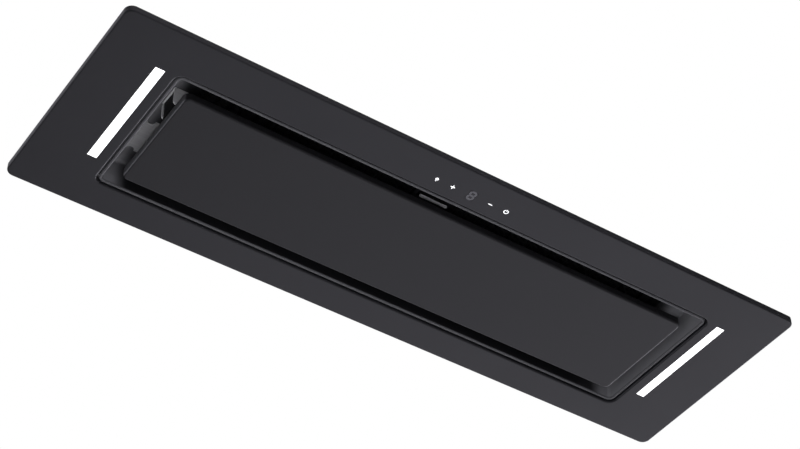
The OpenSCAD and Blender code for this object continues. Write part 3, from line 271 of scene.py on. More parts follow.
def board(name, z):
    """A very large sheet with a round-cornered hole that lies on the rim of the face plate."""
    half = [rim_high[0] - RIM_COVER, rim_high[1] - RIM_COVER]
    hole = []
    for number, (sx, sy) in enumerate(((1, 1), (-1, 1), (-1, -1), (1, -1))):
        for step in range(CORNER_STEPS + 1):
            turn = math.radians(90 * (number + step / CORNER_STEPS))
            hole.append(
                (
                    sx * (half[0] - PLATE_CORNER) + PLATE_CORNER * math.cos(turn),
                    sy * (half[1] - PLATE_CORNER) + PLATE_CORNER * math.sin(turn),
                )
            )
    mesh = bmesh.new()
    inner = [mesh.verts.new((x, y, z)) for x, y in hole]
    outer = []
    for x, y in hole:
        reach = BOARD_HALF / max(abs(x), abs(y))
        outer.append(mesh.verts.new((x * reach, y * reach, z)))
    for i, (near, far) in enumerate(zip(inner, outer)):
        mesh.faces.new((near, far, outer[(i + 1) % len(outer)], inner[(i + 1) % len(inner)]))
    sheet = new_object(name, mesh)
    sheet.visible_glossy = False
    sheet.visible_transmission = False
    sheet.visible_shadow = False
    return sheet


board_below = board("cabinet_board_below", rim_high[2] + BOARD_LIFT)
board_below.visible_diffuse = False
board_above = board("cabinet_board_above", rim_high[2] + BOARD_LIFT + BOARD_THICK)
print("cabinet board at", round(rim_high[2] * 1000, 1), "mm")

# %% [markdown]
# Starting a finish.
# Blender's Principled shader covers nearly every finish with a few sockets. What is the same all
# over a surface is set on its sockets, and what changes over it comes from a pattern node. Sizes
# are in metres, so a pattern that repeats every so many millimetres has a scale of 1000 divided by
# them. Patterns use the object's own coordinates, so they stay on a piece when it moves. A pattern
# could be linked to each socket by hand, but nearly every finish wants the same few links, so one
# function lets a pattern change the shade, the roughness, the glow and the bumps.


# %% Helpers for finishes
# Nearly all values of a noise pattern lie between these two
NOISE_RANGE = {"From Min": 0.3, "From Max": 0.7}
finishes = {}


def finish(name, sockets):
    """A new material with these values on its shader. Returns its tree, shader and coordinates."""
    material = bpy.data.materials.new(name)
    material.use_nodes = True
    tree = material.node_tree
    shader = tree.nodes["Principled BSDF"]
    for key, value in sockets.items():
        shader.inputs[key].default_value = value
    finishes[name] = material
    return tree, shader, add(tree, "TexCoord").outputs["Object"]


def every(size_mm):
    """The scale of a pattern that repeats every so many millimetres."""
    return 1000.0 / size_mm


def vary(tree, shader, pattern, stops=(), rough=(), glow=(), bumps=()):
    """Lets a pattern's grey value change a surface.

    The stops give the place and hex value of each shade, rough and glow a low and a high value,
    and bumps a depth in millimetres and a strength.
    """
    if stops:
        ramp = add(tree, "ValToRGB", (), {"Fac": pattern})
        elements = ramp.color_ramp.elements
        while len(elements) < len(stops):
            elements.new(0.5)
        for element, (place, shade) in zip(elements, stops):
            element.position = place
            element.color = linear(shade)
        tree.links.new(ramp.outputs["Color"], shader.inputs["Base Color"])
    for socket, limits in (("Roughness", rough), ("Emission Strength", glow)):
        if limits:
            low, high = limits
            settings = {**NOISE_RANGE, "To Min": low, "To Max": high}
            scaled = add(tree, "MapRange", settings, {"Value": pattern})
            tree.links.new(scaled.outputs["Result"], shader.inputs[socket])
    if bumps:
        depth_mm, strength = bumps
        settings = {"Strength": strength, "Distance": depth_mm / 1000}
        bump = add(tree, "Bump", settings, {"Height": pattern})
        tree.links.new(bump.outputs["Normal"], shader.inputs["Normal"])


print("a pattern of 10 mm has the scale", every(10))

# %% [markdown]
# Satin powder coat on steel: the face plate.
# Powder is sprayed on and melted in an oven. It flows out to a satin film with a faint orange
# peel, a wave of a few millimetres. The eye gets a deep black with broad, soft reflections.
# A plain dark colour would look like paper, so roughness and tint wander a little and the peel
# bends the reflections. The real peel is 2 to 3 mm wide; it is drawn 6 mm wide so as to show.

# %% Satin powder coat
tree, shader, coords = finish(
    "satin_black_powder_coat", {"Metallic": 0.0, "Roughness": 0.35, "IOR": 1.5}
)
cloudy = add(tree, "TexNoise", {"Scale": every(160), "Detail": 3.0}, {"Vector": coords})
vary(tree, shader, cloudy.outputs["Fac"], [(0.3, "17171a"), (0.7, "1a1a1d")], rough=(0.33, 0.37))
peel = add(tree, "TexNoise", {"Scale": every(6), "Detail": 2.0}, {"Vector": coords})
vary(tree, shader, peel.outputs["Fac"], bumps=(0.012, 0.5))
print("made", "satin_black_powder_coat")

# %% [markdown]
# The perimeter panel's own coat.
# The panel looks a touch duller than the face plate, as parts from two batches do, so its mirror
# image of the room is weaker. The two ends and the far edge have a thin light line, but not the
# near edge. It is a painted highlight, a lighter grey along those edges. The line could be a
# strip of its own, but it has no thickness, so it is a mask of the distance from the middle.

# %% Satin powder coat of the panel
EDGE_BAND = 0.0016
tree, shader, coords = finish(
    "duller_black_powder_coat", {"Metallic": 0.0, "Roughness": 0.37, "IOR": 1.45}
)
panel_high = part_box("perimeter_panel")[1]
place = add(tree, "SeparateXYZ", (), {0: coords})
from_middle = add(tree, "Math", {"operation": "ABSOLUTE"}, {0: place.outputs["X"]})
painted_edge_highlight = None
for distance, edge in (
    (from_middle.outputs[0], panel_high[0]),
    (place.outputs["Y"], panel_high[1]),
):
    band = add(
        tree,
        "MapRange",
        {"From Min": edge - EDGE_BAND, "From Max": edge - EDGE_BAND / 2},
        {"Value": distance},
    )
    if painted_edge_highlight is None:
        painted_edge_highlight = band.outputs["Result"]
    else:
        painted_edge_highlight = add(
            tree, "Math", {"operation": "MAXIMUM"}, {0: painted_edge_highlight, 1: band.outputs["Result"]}
        ).outputs[0]
# A lighter grey along the two ends and the far edge: a painted highlight
vary(tree, shader, painted_edge_highlight, [(0.0, "171719"), (1.0, "48484b")])
cloudy = add(tree, "TexNoise", {"Scale": every(190), "Detail": 3.0}, {"Vector": coords})
vary(tree, shader, cloudy.outputs["Fac"], rough=(0.35, 0.39))
peel = add(tree, "TexNoise", {"Scale": every(6), "Detail": 2.0}, {"Vector": coords})
vary(tree, shader, peel.outputs["Fac"], bumps=(0.012, 0.5))
print("made", "duller_black_powder_coat")

# %% [markdown]
# The recess: black along its walls, with painted light at its bead and its ends.
# The two long walls are black. The rolled bead round the mouth is a mid grey, a painted highlight
# for the light line it catches, and the two ends are grey as painted light. Two materials could
# be split along an edge of the mesh, but the change is a soft one, so the height of each point
# and its distance from the middle mix the two shades.

# %% Recess coat
# Where the painted highlight on the bead and the painted light at the two ends begin and end
BEAD_UP_TO = 0.0025
WALL_FROM = 0.0042
BEAD_HIGHLIGHT_LEVEL = 0.5
PAINTED_LIGHT_FROM = 0.322
PAINTED_LIGHT_FULL = 0.346
tree, shader, coords = finish(
    "black_coat_grey_painted_light", {"Metallic": 0.0, "Roughness": 0.35, "IOR": 1.5}
)
place = add(tree, "SeparateXYZ", (), {0: coords})
from_middle = add(tree, "Math", {"operation": "ABSOLUTE"}, {0: place.outputs["X"]})
soft = {"interpolation_type": "SMOOTHSTEP"}
# Painted light: lighter towards the two ends of the recess
painted_light_near_ends = add(
    tree,
    "MapRange",
    {**soft, "From Min": PAINTED_LIGHT_FROM, "From Max": PAINTED_LIGHT_FULL, "To Max": 1.0},
    {"Value": from_middle.outputs[0]},
)
painted_light_mask = add(
    tree,
    "MapRange",
    {**soft, "From Min": BEAD_UP_TO, "From Max": WALL_FROM, "To Min": BEAD_HIGHLIGHT_LEVEL},
    {"Value": place.outputs["Z"], "To Max": painted_light_near_ends.outputs["Result"]},
)
specks = add(tree, "TexNoise", {"Scale": every(9), "Detail": 6.0}, {"Vector": coords})
speckle = add(
    tree,
    "MapRange",
    {"From Min": 0.3, "From Max": 0.7, "To Min": -0.06, "To Max": 0.0},
    {"Value": specks.outputs["Fac"]},
)
painted_light_and_specks = add(
    tree, "Math", {"operation": "ADD"}, {0: painted_light_mask.outputs["Result"], 1: speckle.outputs["Result"]}
)
# Black in the middle, grey on the bead and at the ends as painted light, with the coat's own specks
vary(tree, shader, painted_light_and_specks.outputs[0], [(0.05, "121214"), (0.55, "454548"), (1.0, "67676b")])
vary(tree, shader, specks.outputs["Fac"], rough=(0.34, 0.44))
print("made", "black_coat_grey_painted_light")

# %% [markdown]
# Grey coated sheet: the brackets inside the gap.
# Small stamped brackets are dipped or electro-coated, which gives a thinner and duller film than
# powder, and the grain of the rolled sheet shows through it. A plain grey would look like card, so
# a noise is stretched along one way for the grain. The hinge brackets have the mid grey coat, and
# the catch brackets a lighter grey, which is painted light on brackets deep in the gap. A loop
# makes both, because only their shades differ.

# %% Grey dipped sheet
for name, stops in (
    # The catch brackets' lighter grey is painted light; the hinge brackets keep the mid grey
    ("grey_dip_coated_sheet_painted_lighter", [(0.3, "b2b2b5"), (0.7, "bebec1")]),
    ("mid_grey_dip_coated_sheet", [(0.3, "88888b"), (0.7, "949497")]),
):
    tree, shader, coords = finish(name, {"Metallic": 0.0, "Roughness": 0.42, "IOR": 1.5})
    rolled = add(tree, "Mapping", {"Scale": (every(60), every(2), every(2))}, {"Vector": coords})
    grain = add(tree, "TexNoise", {"Scale": 1.0, "Detail": 4.0}, {"Vector": rolled.outputs[0]})
    vary(tree, shader, grain.outputs["Fac"], stops, rough=(0.38, 0.50), bumps=(0.01, 0.4))
    print("made", name)

# %% [markdown]
# Hot-dip galvanised steel: chassis, blower box, scroll, spigot and flaps.
# Molten zinc freezes on the steel in crystals about a centimetre across, the spangle. Each crystal
# lies at its own angle and so shines by its own amount. Noise could give such patches too, but
# they would run into each other. A Voronoi pattern has cells of one value each, which is just that.
# Its edges are bent by a little noise, because crystals aren't straight.

# %% Galvanised steel
SPANGLE_MM = 12
tree, shader, coords = finish("galvanised_steel", {"Metallic": 1.0, "Roughness": 0.42})
wander = add(tree, "TexNoise", {"Scale": every(9), "Detail": 2.0}, {"Vector": coords})
bent = add(
    tree,
    "VectorMath",
    {"operation": "MULTIPLY_ADD", 1: (0.005, 0.005, 0.005)},
    {0: wander.outputs["Color"], 2: coords},
)
crystals = add(
    tree, "TexVoronoi", {"Scale": every(SPANGLE_MM)}, {"Vector": bent.outputs["Vector"]}
)
crystal = add(tree, "SeparateColor", (), {"Color": crystals.outputs["Color"]})
vary(tree, shader, crystal.outputs[0], [(0.0, "a3a8ab"), (0.5, "b5babc"), (1.0, "c6cacb")])
vary(tree, shader, crystal.outputs[1], rough=(0.36, 0.50))
print("made", "galvanised_steel")

# %% [markdown]
# Bright zinc-plated steel: screws, clips, pins, shaft and spring.
# Thin electroplated zinc with a clear blue passivation is bright, with a tint that wanders from
# cold to warm. Small parts tumble in the bath, so fine scratches run every way. The scratches
# could be bumps, but none of them can be seen by itself, so they only make the roughness wander.

# %% Bright zinc plate
tree, shader, coords = finish("bright_zinc_plate", {"Metallic": 1.0, "Roughness": 0.25})
tint = add(tree, "TexNoise", {"Scale": every(7), "Detail": 3.0}, {"Vector": coords})
vary(tree, shader, tint.outputs["Fac"], [(0.3, "bcc3cb"), (0.5, "c9ccce"), (0.7, "cdcbc2")])
scratches = add(tree, "TexNoise", {"Scale": every(0.8), "Detail": 4.0}, {"Vector": coords})
vary(tree, shader, scratches.outputs["Fac"], rough=(0.20, 0.33))
print("made", "bright_zinc_plate")

# %% [markdown]
# Anodised aluminium: the trays behind the light strips.
# Extruded aluminium carries fine lines along its length, and anodising leaves them under a hard,
# clear, matt skin. The lines could be cut into the mesh, but they are far finer than its faces, so
# a noise stretched along the tray draws them. They are about 0.3 mm apart, and are drawn 1 mm apart
# so as to show.

# %% Anodised aluminium
tree, shader, coords = finish("anodised_aluminium", {"Metallic": 1.0, "Roughness": 0.38})
drawn = add(tree, "Mapping", {"Scale": (every(1), every(80), every(1))}, {"Vector": coords})
lines = add(tree, "TexNoise", {"Scale": 1.0, "Detail": 3.0}, {"Vector": drawn.outputs[0]})
vary(
    tree,
    shader,
    lines.outputs["Fac"],
    [(0.3, "b0b3b6"), (0.7, "bcbfc2")],
    rough=(0.34, 0.44),
    bumps=(0.01, 0.3),
)
print("made", "anodised_aluminium")

# %% [markdown]
# Aluminium painted black as shade: the grease filter's frame.
# The frame is folded from thin aluminium sheet, and its near-black colour is painted shade, so
# through the gap it is hardly seen. It could share the face plate's coat, but a thin film on soft
# sheet is duller and more even.

# %% Aluminium painted black as shade
tree, shader, coords = finish(
    "aluminium_painted_black_as_shade", {"Metallic": 0.0, "Roughness": 0.45, "IOR": 1.5}
)
film = add(tree, "TexNoise", {"Scale": every(25), "Detail": 4.0}, {"Vector": coords})
# Near black: painted shade
vary(tree, shader, film.outputs["Fac"], [(0.3, "161618"), (0.7, "1c1c1f")], rough=(0.42, 0.52))
print("made", "aluminium_painted_black_as_shade")

# %% [markdown]
# Layers of expanded aluminium: the core of the filter.
# Sheet is slit and pulled open into diamonds, and some layers of it are pleated together. Each
# strand could be modelled, but that is thousands of pieces deep in the dark. In the shader two sets
# of slanting lines make the strands, and what lies between them is the dark of the next layer.
# The near-black strands and the black gaps are painted shade, deep in the gap.

# %% Expanded aluminium
DIAMOND_LONG = 12
DIAMOND_SHORT = 6
tree, shader, coords = finish(
    "expanded_aluminium_layers", {"Metallic": 0.0, "Roughness": 0.5, "IOR": 1.5}
)
places = add(tree, "SeparateXYZ", (), {0: coords})
along = add(
    tree, "Math", {"operation": "MULTIPLY", 1: every(DIAMOND_LONG)}, {0: places.outputs["X"]}
)
across = add(
    tree, "Math", {"operation": "MULTIPLY", 1: every(DIAMOND_SHORT)}, {0: places.outputs["Y"]}
)
strands = None
for slant in ("ADD", "SUBTRACT"):
    line = add(tree, "Math", {"operation": slant}, {0: along.outputs[0], 1: across.outputs[0]})
    wave = add(tree, "Math", {"operation": "PINGPONG", 1: 0.5}, {0: line.outputs[0]})
    if strands is None:
        strands = wave.outputs[0]
    else:
        strands = add(tree, "Math", {"operation": "MINIMUM"}, {0: strands, 1: wave.outputs[0]})
        strands = strands.outputs[0]
# Near-black strands and black gaps: painted shade
vary(
    tree,
    shader,
    strands,
    [(0.0, "1e1e20"), (0.12, "19191b"), (0.2, "050506"), (0.5, "020202")],
    bumps=(-0.6, 1.0),
)
print("made", "expanded_aluminium_layers")

# %% [markdown]
# Nickel-plated magnet, die-cast aluminium and rubber.
# Nickel is a warm, bright mirror with fine wear. Die casting leaves a dull grey skin with flow
# marks and a fine sand of pores. Rubber bushes are matt with a dusty bloom. All three are small and
# well hidden. They could be plain colours, but they are seen once the model is taken apart, so each
# gets one pattern, and the casting a second one for its pores.

# %% Magnet, casting and rubber
tree, shader, coords = finish("nickel_plate", {"Metallic": 1.0, "Roughness": 0.15})
wear = add(tree, "TexNoise", {"Scale": every(2), "Detail": 5.0}, {"Vector": coords})
vary(tree, shader, wear.outputs["Fac"], [(0.3, "bfb9ae"), (0.7, "cdc8be")], rough=(0.10, 0.22))

tree, shader, coords = finish("die_cast_aluminium", {"Metallic": 1.0, "Roughness": 0.5})
flow = add(tree, "TexNoise", {"Scale": every(18), "Detail": 5.0}, {"Vector": coords})
vary(tree, shader, flow.outputs["Fac"], [(0.3, "9a9c9e"), (0.7, "aeb0b1")], rough=(0.45, 0.6))
pores = add(tree, "TexVoronoi", {"Scale": every(1.5)}, {"Vector": coords})
vary(tree, shader, pores.outputs["Distance"], bumps=(0.08, 0.6))

tree, shader, coords = finish("black_rubber", {"Metallic": 0.0, "Roughness": 0.7, "IOR": 1.52})
bloom = add(tree, "TexNoise", {"Scale": every(5), "Detail": 4.0}, {"Vector": coords})
vary(tree, shader, bloom.outputs["Fac"], [(0.3, "19191a"), (0.7, "252526")], rough=(0.62, 0.8))
print("made", "nickel_plate, die_cast_aluminium, black_rubber")

# %% [markdown]
# Moulded plastics: black polypropylene and light grey ABS.
# Moulds for hidden parts are spark eroded, which leaves a fine, even, matt grain on the plastic.
# Roughness alone could stand for it, but then a box lid looks like painted metal, so a fine noise
# makes bumps too. The grain is about 0.2 mm; it is drawn 1.2 mm wide so as to show at all.

# %% Moulded plastics
GRAIN_MM = 1.2
for name, rough, stops in (
    ("moulded_black_polypropylene", 0.5, [(0.3, "17171a"), (0.7, "1d1d20")]),
    ("moulded_light_grey_abs", 0.42, [(0.3, "c2c3c5"), (0.7, "cbccce")]),
):
    tree, shader, coords = finish(name, {"Metallic": 0.0, "Roughness": rough, "IOR": 1.5})
    flow = add(tree, "TexNoise", {"Scale": every(40), "Detail": 3.0}, {"Vector": coords})
    vary(tree, shader, flow.outputs["Fac"], stops)
    erosion = add(tree, "TexNoise", {"Scale": every(GRAIN_MM), "Detail": 2.0}, {"Vector": coords})
    vary(
        tree, shader, erosion.outputs["Fac"], rough=(rough - 0.05, rough + 0.08), bumps=(0.03, 0.5)
    )
    print("made", name)

# %% [markdown]
# Black nylon of the latch and the catches.
# Both are small mouldings deep in the gap, and nearly no light comes back from them. Only the
# lower edge of the latch's pull shows, as a thin light line. It is drawn as a painted highlight,
# a light grey band along the lower edge. The band could follow the curve of the edge by its angle,
# but one height is enough here, because the pull is straight.

# %% Black nylon
PULL_HIGHLIGHT_BAND = 0.0009
tree, shader, coords = finish("matt_black_nylon", {"Metallic": 0.0, "Roughness": 0.6, "IOR": 1.4})
frost = add(tree, "TexNoise", {"Scale": every(3), "Detail": 4.0}, {"Vector": coords})
vary(tree, shader, frost.outputs["Fac"], [(0.3, "0a0a0b"), (0.7, "101011")], bumps=(0.02, 0.4))

tree, shader, coords = finish(
    "black_nylon_painted_highlight_below", {"Metallic": 0.0, "Roughness": 0.45, "IOR": 1.5}
)
pull_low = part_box("filter_latch")[0][2]
place = add(tree, "SeparateXYZ", (), {0: coords})
# Painted highlight: a light grey band along the lower edge of the pull, broken up by noise
painted_highlight = add(
    tree,
    "MapRange",
    {"From Min": pull_low + PULL_HIGHLIGHT_BAND, "From Max": pull_low + PULL_HIGHLIGHT_BAND / 2},
    {"Value": place.outputs["Z"]},
)
highlight_patches = add(tree, "TexNoise", {"Scale": every(5), "Detail": 5.0}, {"Vector": coords})
patchy = add(
    tree,
    "MapRange",
    {"From Min": 0.3, "From Max": 0.7, "To Min": -0.15, "To Max": 0.05},
    {"Value": highlight_patches.outputs["Fac"]},
)
mixed = add(
    tree, "Math", {"operation": "ADD"}, {0: painted_highlight.outputs["Result"], 1: patchy.outputs["Result"]}
)
vary(tree, shader, mixed.outputs[0], [(0.1, "0c0c0d"), (1.0, "b0b0b4")])
print("made", "matt_black_nylon, black_nylon_painted_highlight_below")

# %% [markdown]
# The lit strips, the lit signs and the dim digit.
# Behind each opal strip a row of light-emitting diodes stands every 10 mm. The opal acrylic
# spreads their light to an even white with only a trace of the row. The shader glows by itself,
# because light through real diffusing plastic would take far too long to gather. The ink of the
# touch signs glows less, and the digit is dim.

# %% Lit plastics
DIODE_PITCH_MM = 10
tree, shader, coords = finish(
    "lit_opal_acrylic",
    {"Base Color": linear("f4f5f7"), "Roughness": 0.3, "IOR": 1.49, "Emission Color": WHITE},
)
row = add(
    tree,
    "TexWave",
    {"bands_direction": "Y", "Scale": every(DIODE_PITCH_MM) / 20, "Distortion": 0.0},
    {"Vector": coords},
)
vary(tree, shader, row.outputs["Fac"], glow=(1.15, 1.35))

tree, shader, coords = finish(
    "lit_sign_ink",
    {"Base Color": linear("d8dadd"), "Roughness": 0.4, "IOR": 1.49, "Emission Color": WHITE},
)
even = add(tree, "TexNoise", {"Scale": every(4), "Detail": 1.0}, {"Vector": coords})
vary(tree, shader, even.outputs["Fac"], glow=(0.72, 0.86))

tree, shader, coords = finish(
    "dim_lit_digit",
    {"Base Color": linear("303034"), "Roughness": 0.3, "IOR": 1.49},
)
shader.inputs["Emission Color"].default_value = linear("c9c7d2")
even = add(tree, "TexNoise", {"Scale": every(3)}, {"Vector": coords})
vary(tree, shader, even.outputs["Fac"], glow=(0.075, 0.09))

print("made", "lit_opal_acrylic, lit_sign_ink, dim_lit_digit")

# %% [markdown]
# Light guides and the smoked window.
# The guides behind the touch signs are clear acrylic and carry a little light. The window over the
# digit is polycarbonate with a dark dye, so that it looks black when it's off. It could be drawn
# see-through, but so dark a window shows hardly anything behind it, and a dark gloss says the same.

# %% Clear plastics
tree, shader, coords = finish(
    "clear_light_guide",
    {
        "Base Color": linear("dfe3e6"),
        "Roughness": 0.2,
        "IOR": 1.49,
        "Transmission Weight": 0.3,
        "Emission Color": WHITE,
    },
)
fade = add(tree, "TexNoise", {"Scale": every(12)}, {"Vector": coords})
vary(tree, shader, fade.outputs["Fac"], glow=(0.2, 0.35))

tree, shader, coords = finish("smoked_polycarbonate", {"Roughness": 0.12, "IOR": 1.58})
haze = add(tree, "TexNoise", {"Scale": every(30), "Detail": 2.0}, {"Vector": coords})
vary(tree, shader, haze.outputs["Fac"], [(0.3, "18181b"), (0.7, "1c1c20")], rough=(0.10, 0.16))
print("made", "clear_light_guide, smoked_polycarbonate")

# %% [markdown]
# Circuit boards.
# A board is glass fibre under a thin solder resist, white for the lights so that nothing is lost,
# and green for the touch keys. The weave of the glass shows faintly through it, about 0.5 mm from
# thread to thread; it is drawn at 2 mm. Two crossed waves could draw it, but a brick pattern has
# the threads and the joints between them ready made.

# %% Circuit boards
THREAD_MM = 2
for name, low, high in (
    ("white_solder_resist", "d9d8d0", "e4e3dc"),
    ("green_solder_resist", "0f3f22", "17502d"),
):
    tree, shader, coords = finish(name, {"Metallic": 0.0, "Roughness": 0.32, "IOR": 1.55})
    weave = add(
        tree,
        "TexBrick",
        {"Scale": every(THREAD_MM) / 2, "Color1": linear(low), "Color2": linear(high)},
        {"Vector": coords},
    )
    weave.inputs["Mortar"].default_value = linear(low)
    tree.links.new(weave.outputs["Color"], shader.inputs["Base Color"])
    vary(tree, shader, weave.outputs["Fac"], bumps=(0.02, 0.4))
    print("made", name)

# %% [markdown]
# Putting the finishes on.
# Each CAD node carries the name of its finish from the record. Every node could be listed with its
# material, but the finishes are fewer than the nodes, so one table goes from the record's name to
# the Blender material. The panel shares its slot with the face plate but has a coat of its own, the
# latch and the catches are nylon mouldings, the latch with a painted highlight, and the hinge
# brackets keep the mid grey while the catch brackets get painted light, so these four are named
# by themselves.

# %% Assign
FINISH_OF_SLOT = {
    "fascia_black": "satin_black_powder_coat",
    "recess_black": "black_coat_grey_painted_light",
    "bracket_grey": "grey_dip_coated_sheet_painted_lighter",
    "zinc_steel": "galvanised_steel",
    "bright_steel": "bright_zinc_plate",
    "alu_frame": "anodised_aluminium",
    "filter_black": "aluminium_painted_black_as_shade",
    "filter_mesh": "expanded_aluminium_layers",
    "magnet": "nickel_plate",
    "black_plastic": "moulded_black_polypropylene",
    "grey_plastic": "moulded_light_grey_abs",
    "lens_white": "lit_opal_acrylic",
    "smoked_window": "smoked_polycarbonate",
    "light_guide": "clear_light_guide",
    "led_board_white": "white_solder_resist",
    "board_green": "green_solder_resist",
    "motor_cast": "die_cast_aluminium",
    "rubber_black": "black_rubber",
}
FINISH_OF_NODE = {
    "perimeter_panel": "duller_black_powder_coat",
    "filter_latch": "black_nylon_painted_highlight_below",
    "catch_bodies": "matt_black_nylon",
    "hinge_brackets": "mid_grey_dip_coated_sheet",
}
for name, node in nodes.items():
    for place in node.material_slots:
        chosen = FINISH_OF_NODE.get(name) or FINISH_OF_SLOT[place.material.name.split(".")[0]]
        place.material = finishes[chosen]
print("dressed", len(nodes), "nodes in", len(finishes), "finishes")

# %% [markdown]
# Sharper corners for the face plate.
# Beside the photograph the corners of the CAD plate look too round: their radius is 15 mm, and the
# real one is about 10 mm. The plate could be drawn anew, but only its four corners differ, so this
# piece starts as a copy of the plate. Each corner is a stack of arcs round one centre. Moving the
# centre out by 5 mm and taking 5 mm off each radius keeps the wall, the hem and the edge as they
# are, and the sides of the plate stay where they were.

# %% Face plate with sharper corners
CORNER_WAS = 0.015
ROUNDING = 1e-6
CORNER_IS = PLATE_CORNER
plate = bpy.data.objects.new("face_plate_sharp_corners", nodes["face_plate"].data.copy())
scene.collection.objects.link(plate)
centre = [rim_high[axis] - CORNER_WAS for axis in (0, 1)]
shift = CORNER_WAS - CORNER_IS
moved = 0
for vert in plate.data.vertices:
    out = [abs(vert.co[axis]) - centre[axis] for axis in (0, 1)]
    if min(out) < -ROUNDING:
        continue
    radius = math.hypot(*out)
    share = min(shift, radius)
    for axis in (0, 1):
        step = share * (1.0 - out[axis] / radius) if radius else 0.0
        vert.co[axis] += math.copysign(step, vert.co[axis])
    moved += 1
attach(plate, "hood")
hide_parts("face_plate")
print("corner points moved:", moved)

# %% [markdown]
# The spring of the filter latch.
# When the pull slides 4 mm to the far side, the coil spring behind it gets 4 mm shorter. The CAD
# spring is rigid, so the latch would cut into it. This piece has the same mesh, as a mesh of its
# own, and is fixed to the hood in place of the CAD spring.

# %% Latch spring
spring = bpy.data.objects.new("latch_spring_coil", nodes["latch_spring"].data.copy())
scene.collection.objects.link(spring)
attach(spring, "hood")
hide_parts("latch_spring")
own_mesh(spring)

# %% [markdown]
# Three outlines for small signs.
# A sign on a touch key is made of arcs and bars. They could be traced from points, but then no
# width or radius could be changed later, so each outline is worked out from its own measures. It
# is a list of points in millimetres, drawn flat, with its top towards the user.


# %% Arcs and bars
def arc(cx, cy, radius, start, end, steps):
    """Points on an arc, in millimetres and degrees."""
    turns = [math.radians(start + (end - start) * i / steps) for i in range(steps + 1)]
    return [(cx + radius * math.cos(t), cy + radius * math.sin(t)) for t in turns]


def bar(cx, cy, width, height):
    """A straight bar."""
    sides = ((-1, -1), (1, -1), (1, 1), (-1, 1))
    return [(cx + sx * width / 2, cy + sy * height / 2) for sx, sy in sides]


def round_bar(cx, cy, length, thick):
    """A bar along the row with round ends."""
    half = (length - thick) / 2
    right = arc(cx + half, cy, thick / 2, -90, 90, 8)
    left = arc(cx - half, cy, thick / 2, 90, 270, 8)
    return right + left


print("a round bar has", len(round_bar(0, 0, 5.4, 1.2)), "points")

# %% [markdown]
# The signs of the touch keys.
# The keys have no travel. Their signs are printed on the plate and lit from behind: a lamp, a plus,
# a digit, a minus and a power ring. They could be painted into the plate's material, but drawn as
# thin plates of their own they stay sharp from close by. Each flat outline is given a thickness.

# %% Touch signs
SIGN_PROUD = 0.05
KEY_ROW_Y = -110.5
KEY_X = {"lamp": -47.3, "plus": -25.5, "minus": 25.5, "power": 47.3}


def plates(name, outlines, centre_x, material):
    """Thin plates from flat outlines, centred on the key row, fixed to the hood."""
    mesh = bmesh.new()
    for outline in outlines:
        base = [
            mesh.verts.new(((centre_x + u) / 1000, (KEY_ROW_Y - v) / 1000, SIGN_PROUD / 1000))
            for u, v in outline
        ]
        face = mesh.faces.new(base)
        raised = bmesh.ops.extrude_face_region(mesh, geom=[face])["geom"]
        verts = [v for v in raised if isinstance(v, bmesh.types.BMVert)]
        bmesh.ops.translate(mesh, verts=verts, vec=(0, 0, -2 * SIGN_PROUD / 1000))
    bmesh.ops.recalc_face_normals(mesh, faces=mesh.faces)
    piece = new_object(name, mesh)
    piece.data.materials.append(finishes[material])
    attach(piece, "hood")


BULB = arc(0, 1.0, 2.0, -60, 240, 24)
BULB_CAP = bar(0, -1.6, 1.8, 0.6)
BULB_TIP = bar(0, -2.6, 1.2, 0.5)
ARM, HALF = 2.8, 0.6
PLUS = [
    (-ARM, -HALF), (-HALF, -HALF), (-HALF, -ARM), (HALF, -ARM), (HALF, -HALF), (ARM, -HALF),
    (ARM, HALF), (HALF, HALF), (HALF, ARM), (-HALF, ARM), (-HALF, HALF), (-ARM, HALF),
]
RING = arc(0, 0, 3.1, 115, 425, 32) + arc(0, 0, 2.1, 425, 115, 32)
SIGNS = {
    "lamp": [BULB, BULB_CAP, BULB_TIP],
    "plus": [PLUS],
    "minus": [round_bar(0, 0, 5.4, 1.2)],
    "power": [RING, bar(0, 2.2, 0.9, 2.6)],
}
for sign, outlines in SIGNS.items():
    plates("touch_sign_" + sign, outlines, KEY_X[sign], "lit_sign_ink")
print("touch signs drawn, row at y =", KEY_ROW_Y, "mm")

# %% [markdown]
# The digit in the display window.
# It is a common digit of seven bars with slanted ends, an 8 with all its bars lit dimly. It could
# be a text object, but Blender's own font has no such bars, so each one is drawn as a six-sided
# outline.

# %% Digit
DIGIT_HALF_W = 3.4
DIGIT_HALF_H = 6.0
BAR_HALF = 1.3
SPLIT = 0.12
reach = DIGIT_HALF_W - SPLIT
segments = []
for v in (-DIGIT_HALF_H, 0, DIGIT_HALF_H):
    segments.append(
        [
            (-reach, v),
            (-reach + BAR_HALF, v - BAR_HALF),
            (reach - BAR_HALF, v - BAR_HALF),
            (reach, v),
            (reach - BAR_HALF, v + BAR_HALF),
            (-reach + BAR_HALF, v + BAR_HALF),
        ]
    )
for u in (-DIGIT_HALF_W, DIGIT_HALF_W):
    for low, high in ((SPLIT - DIGIT_HALF_H, -SPLIT), (SPLIT, DIGIT_HALF_H - SPLIT)):
        segments.append(
            [
                (u, low),
                (u + BAR_HALF, low + BAR_HALF),
                (u + BAR_HALF, high - BAR_HALF),
                (u, high),
                (u - BAR_HALF, high - BAR_HALF),
                (u - BAR_HALF, low + BAR_HALF),
            ]
        )
plates("display_digit", segments, 0, "dim_lit_digit")
print("digit of", len(segments), "bars")

# %% [markdown]
# The body of a pan-head screw.
# The CAD model has each screw as two plain cylinders. On the real hood the head is a low dome with
# a rolled edge and a cross recess. The dome could be a squashed ball, but a turned profile gives
# the rim and the dome their own radii, as the cold-heading die does.

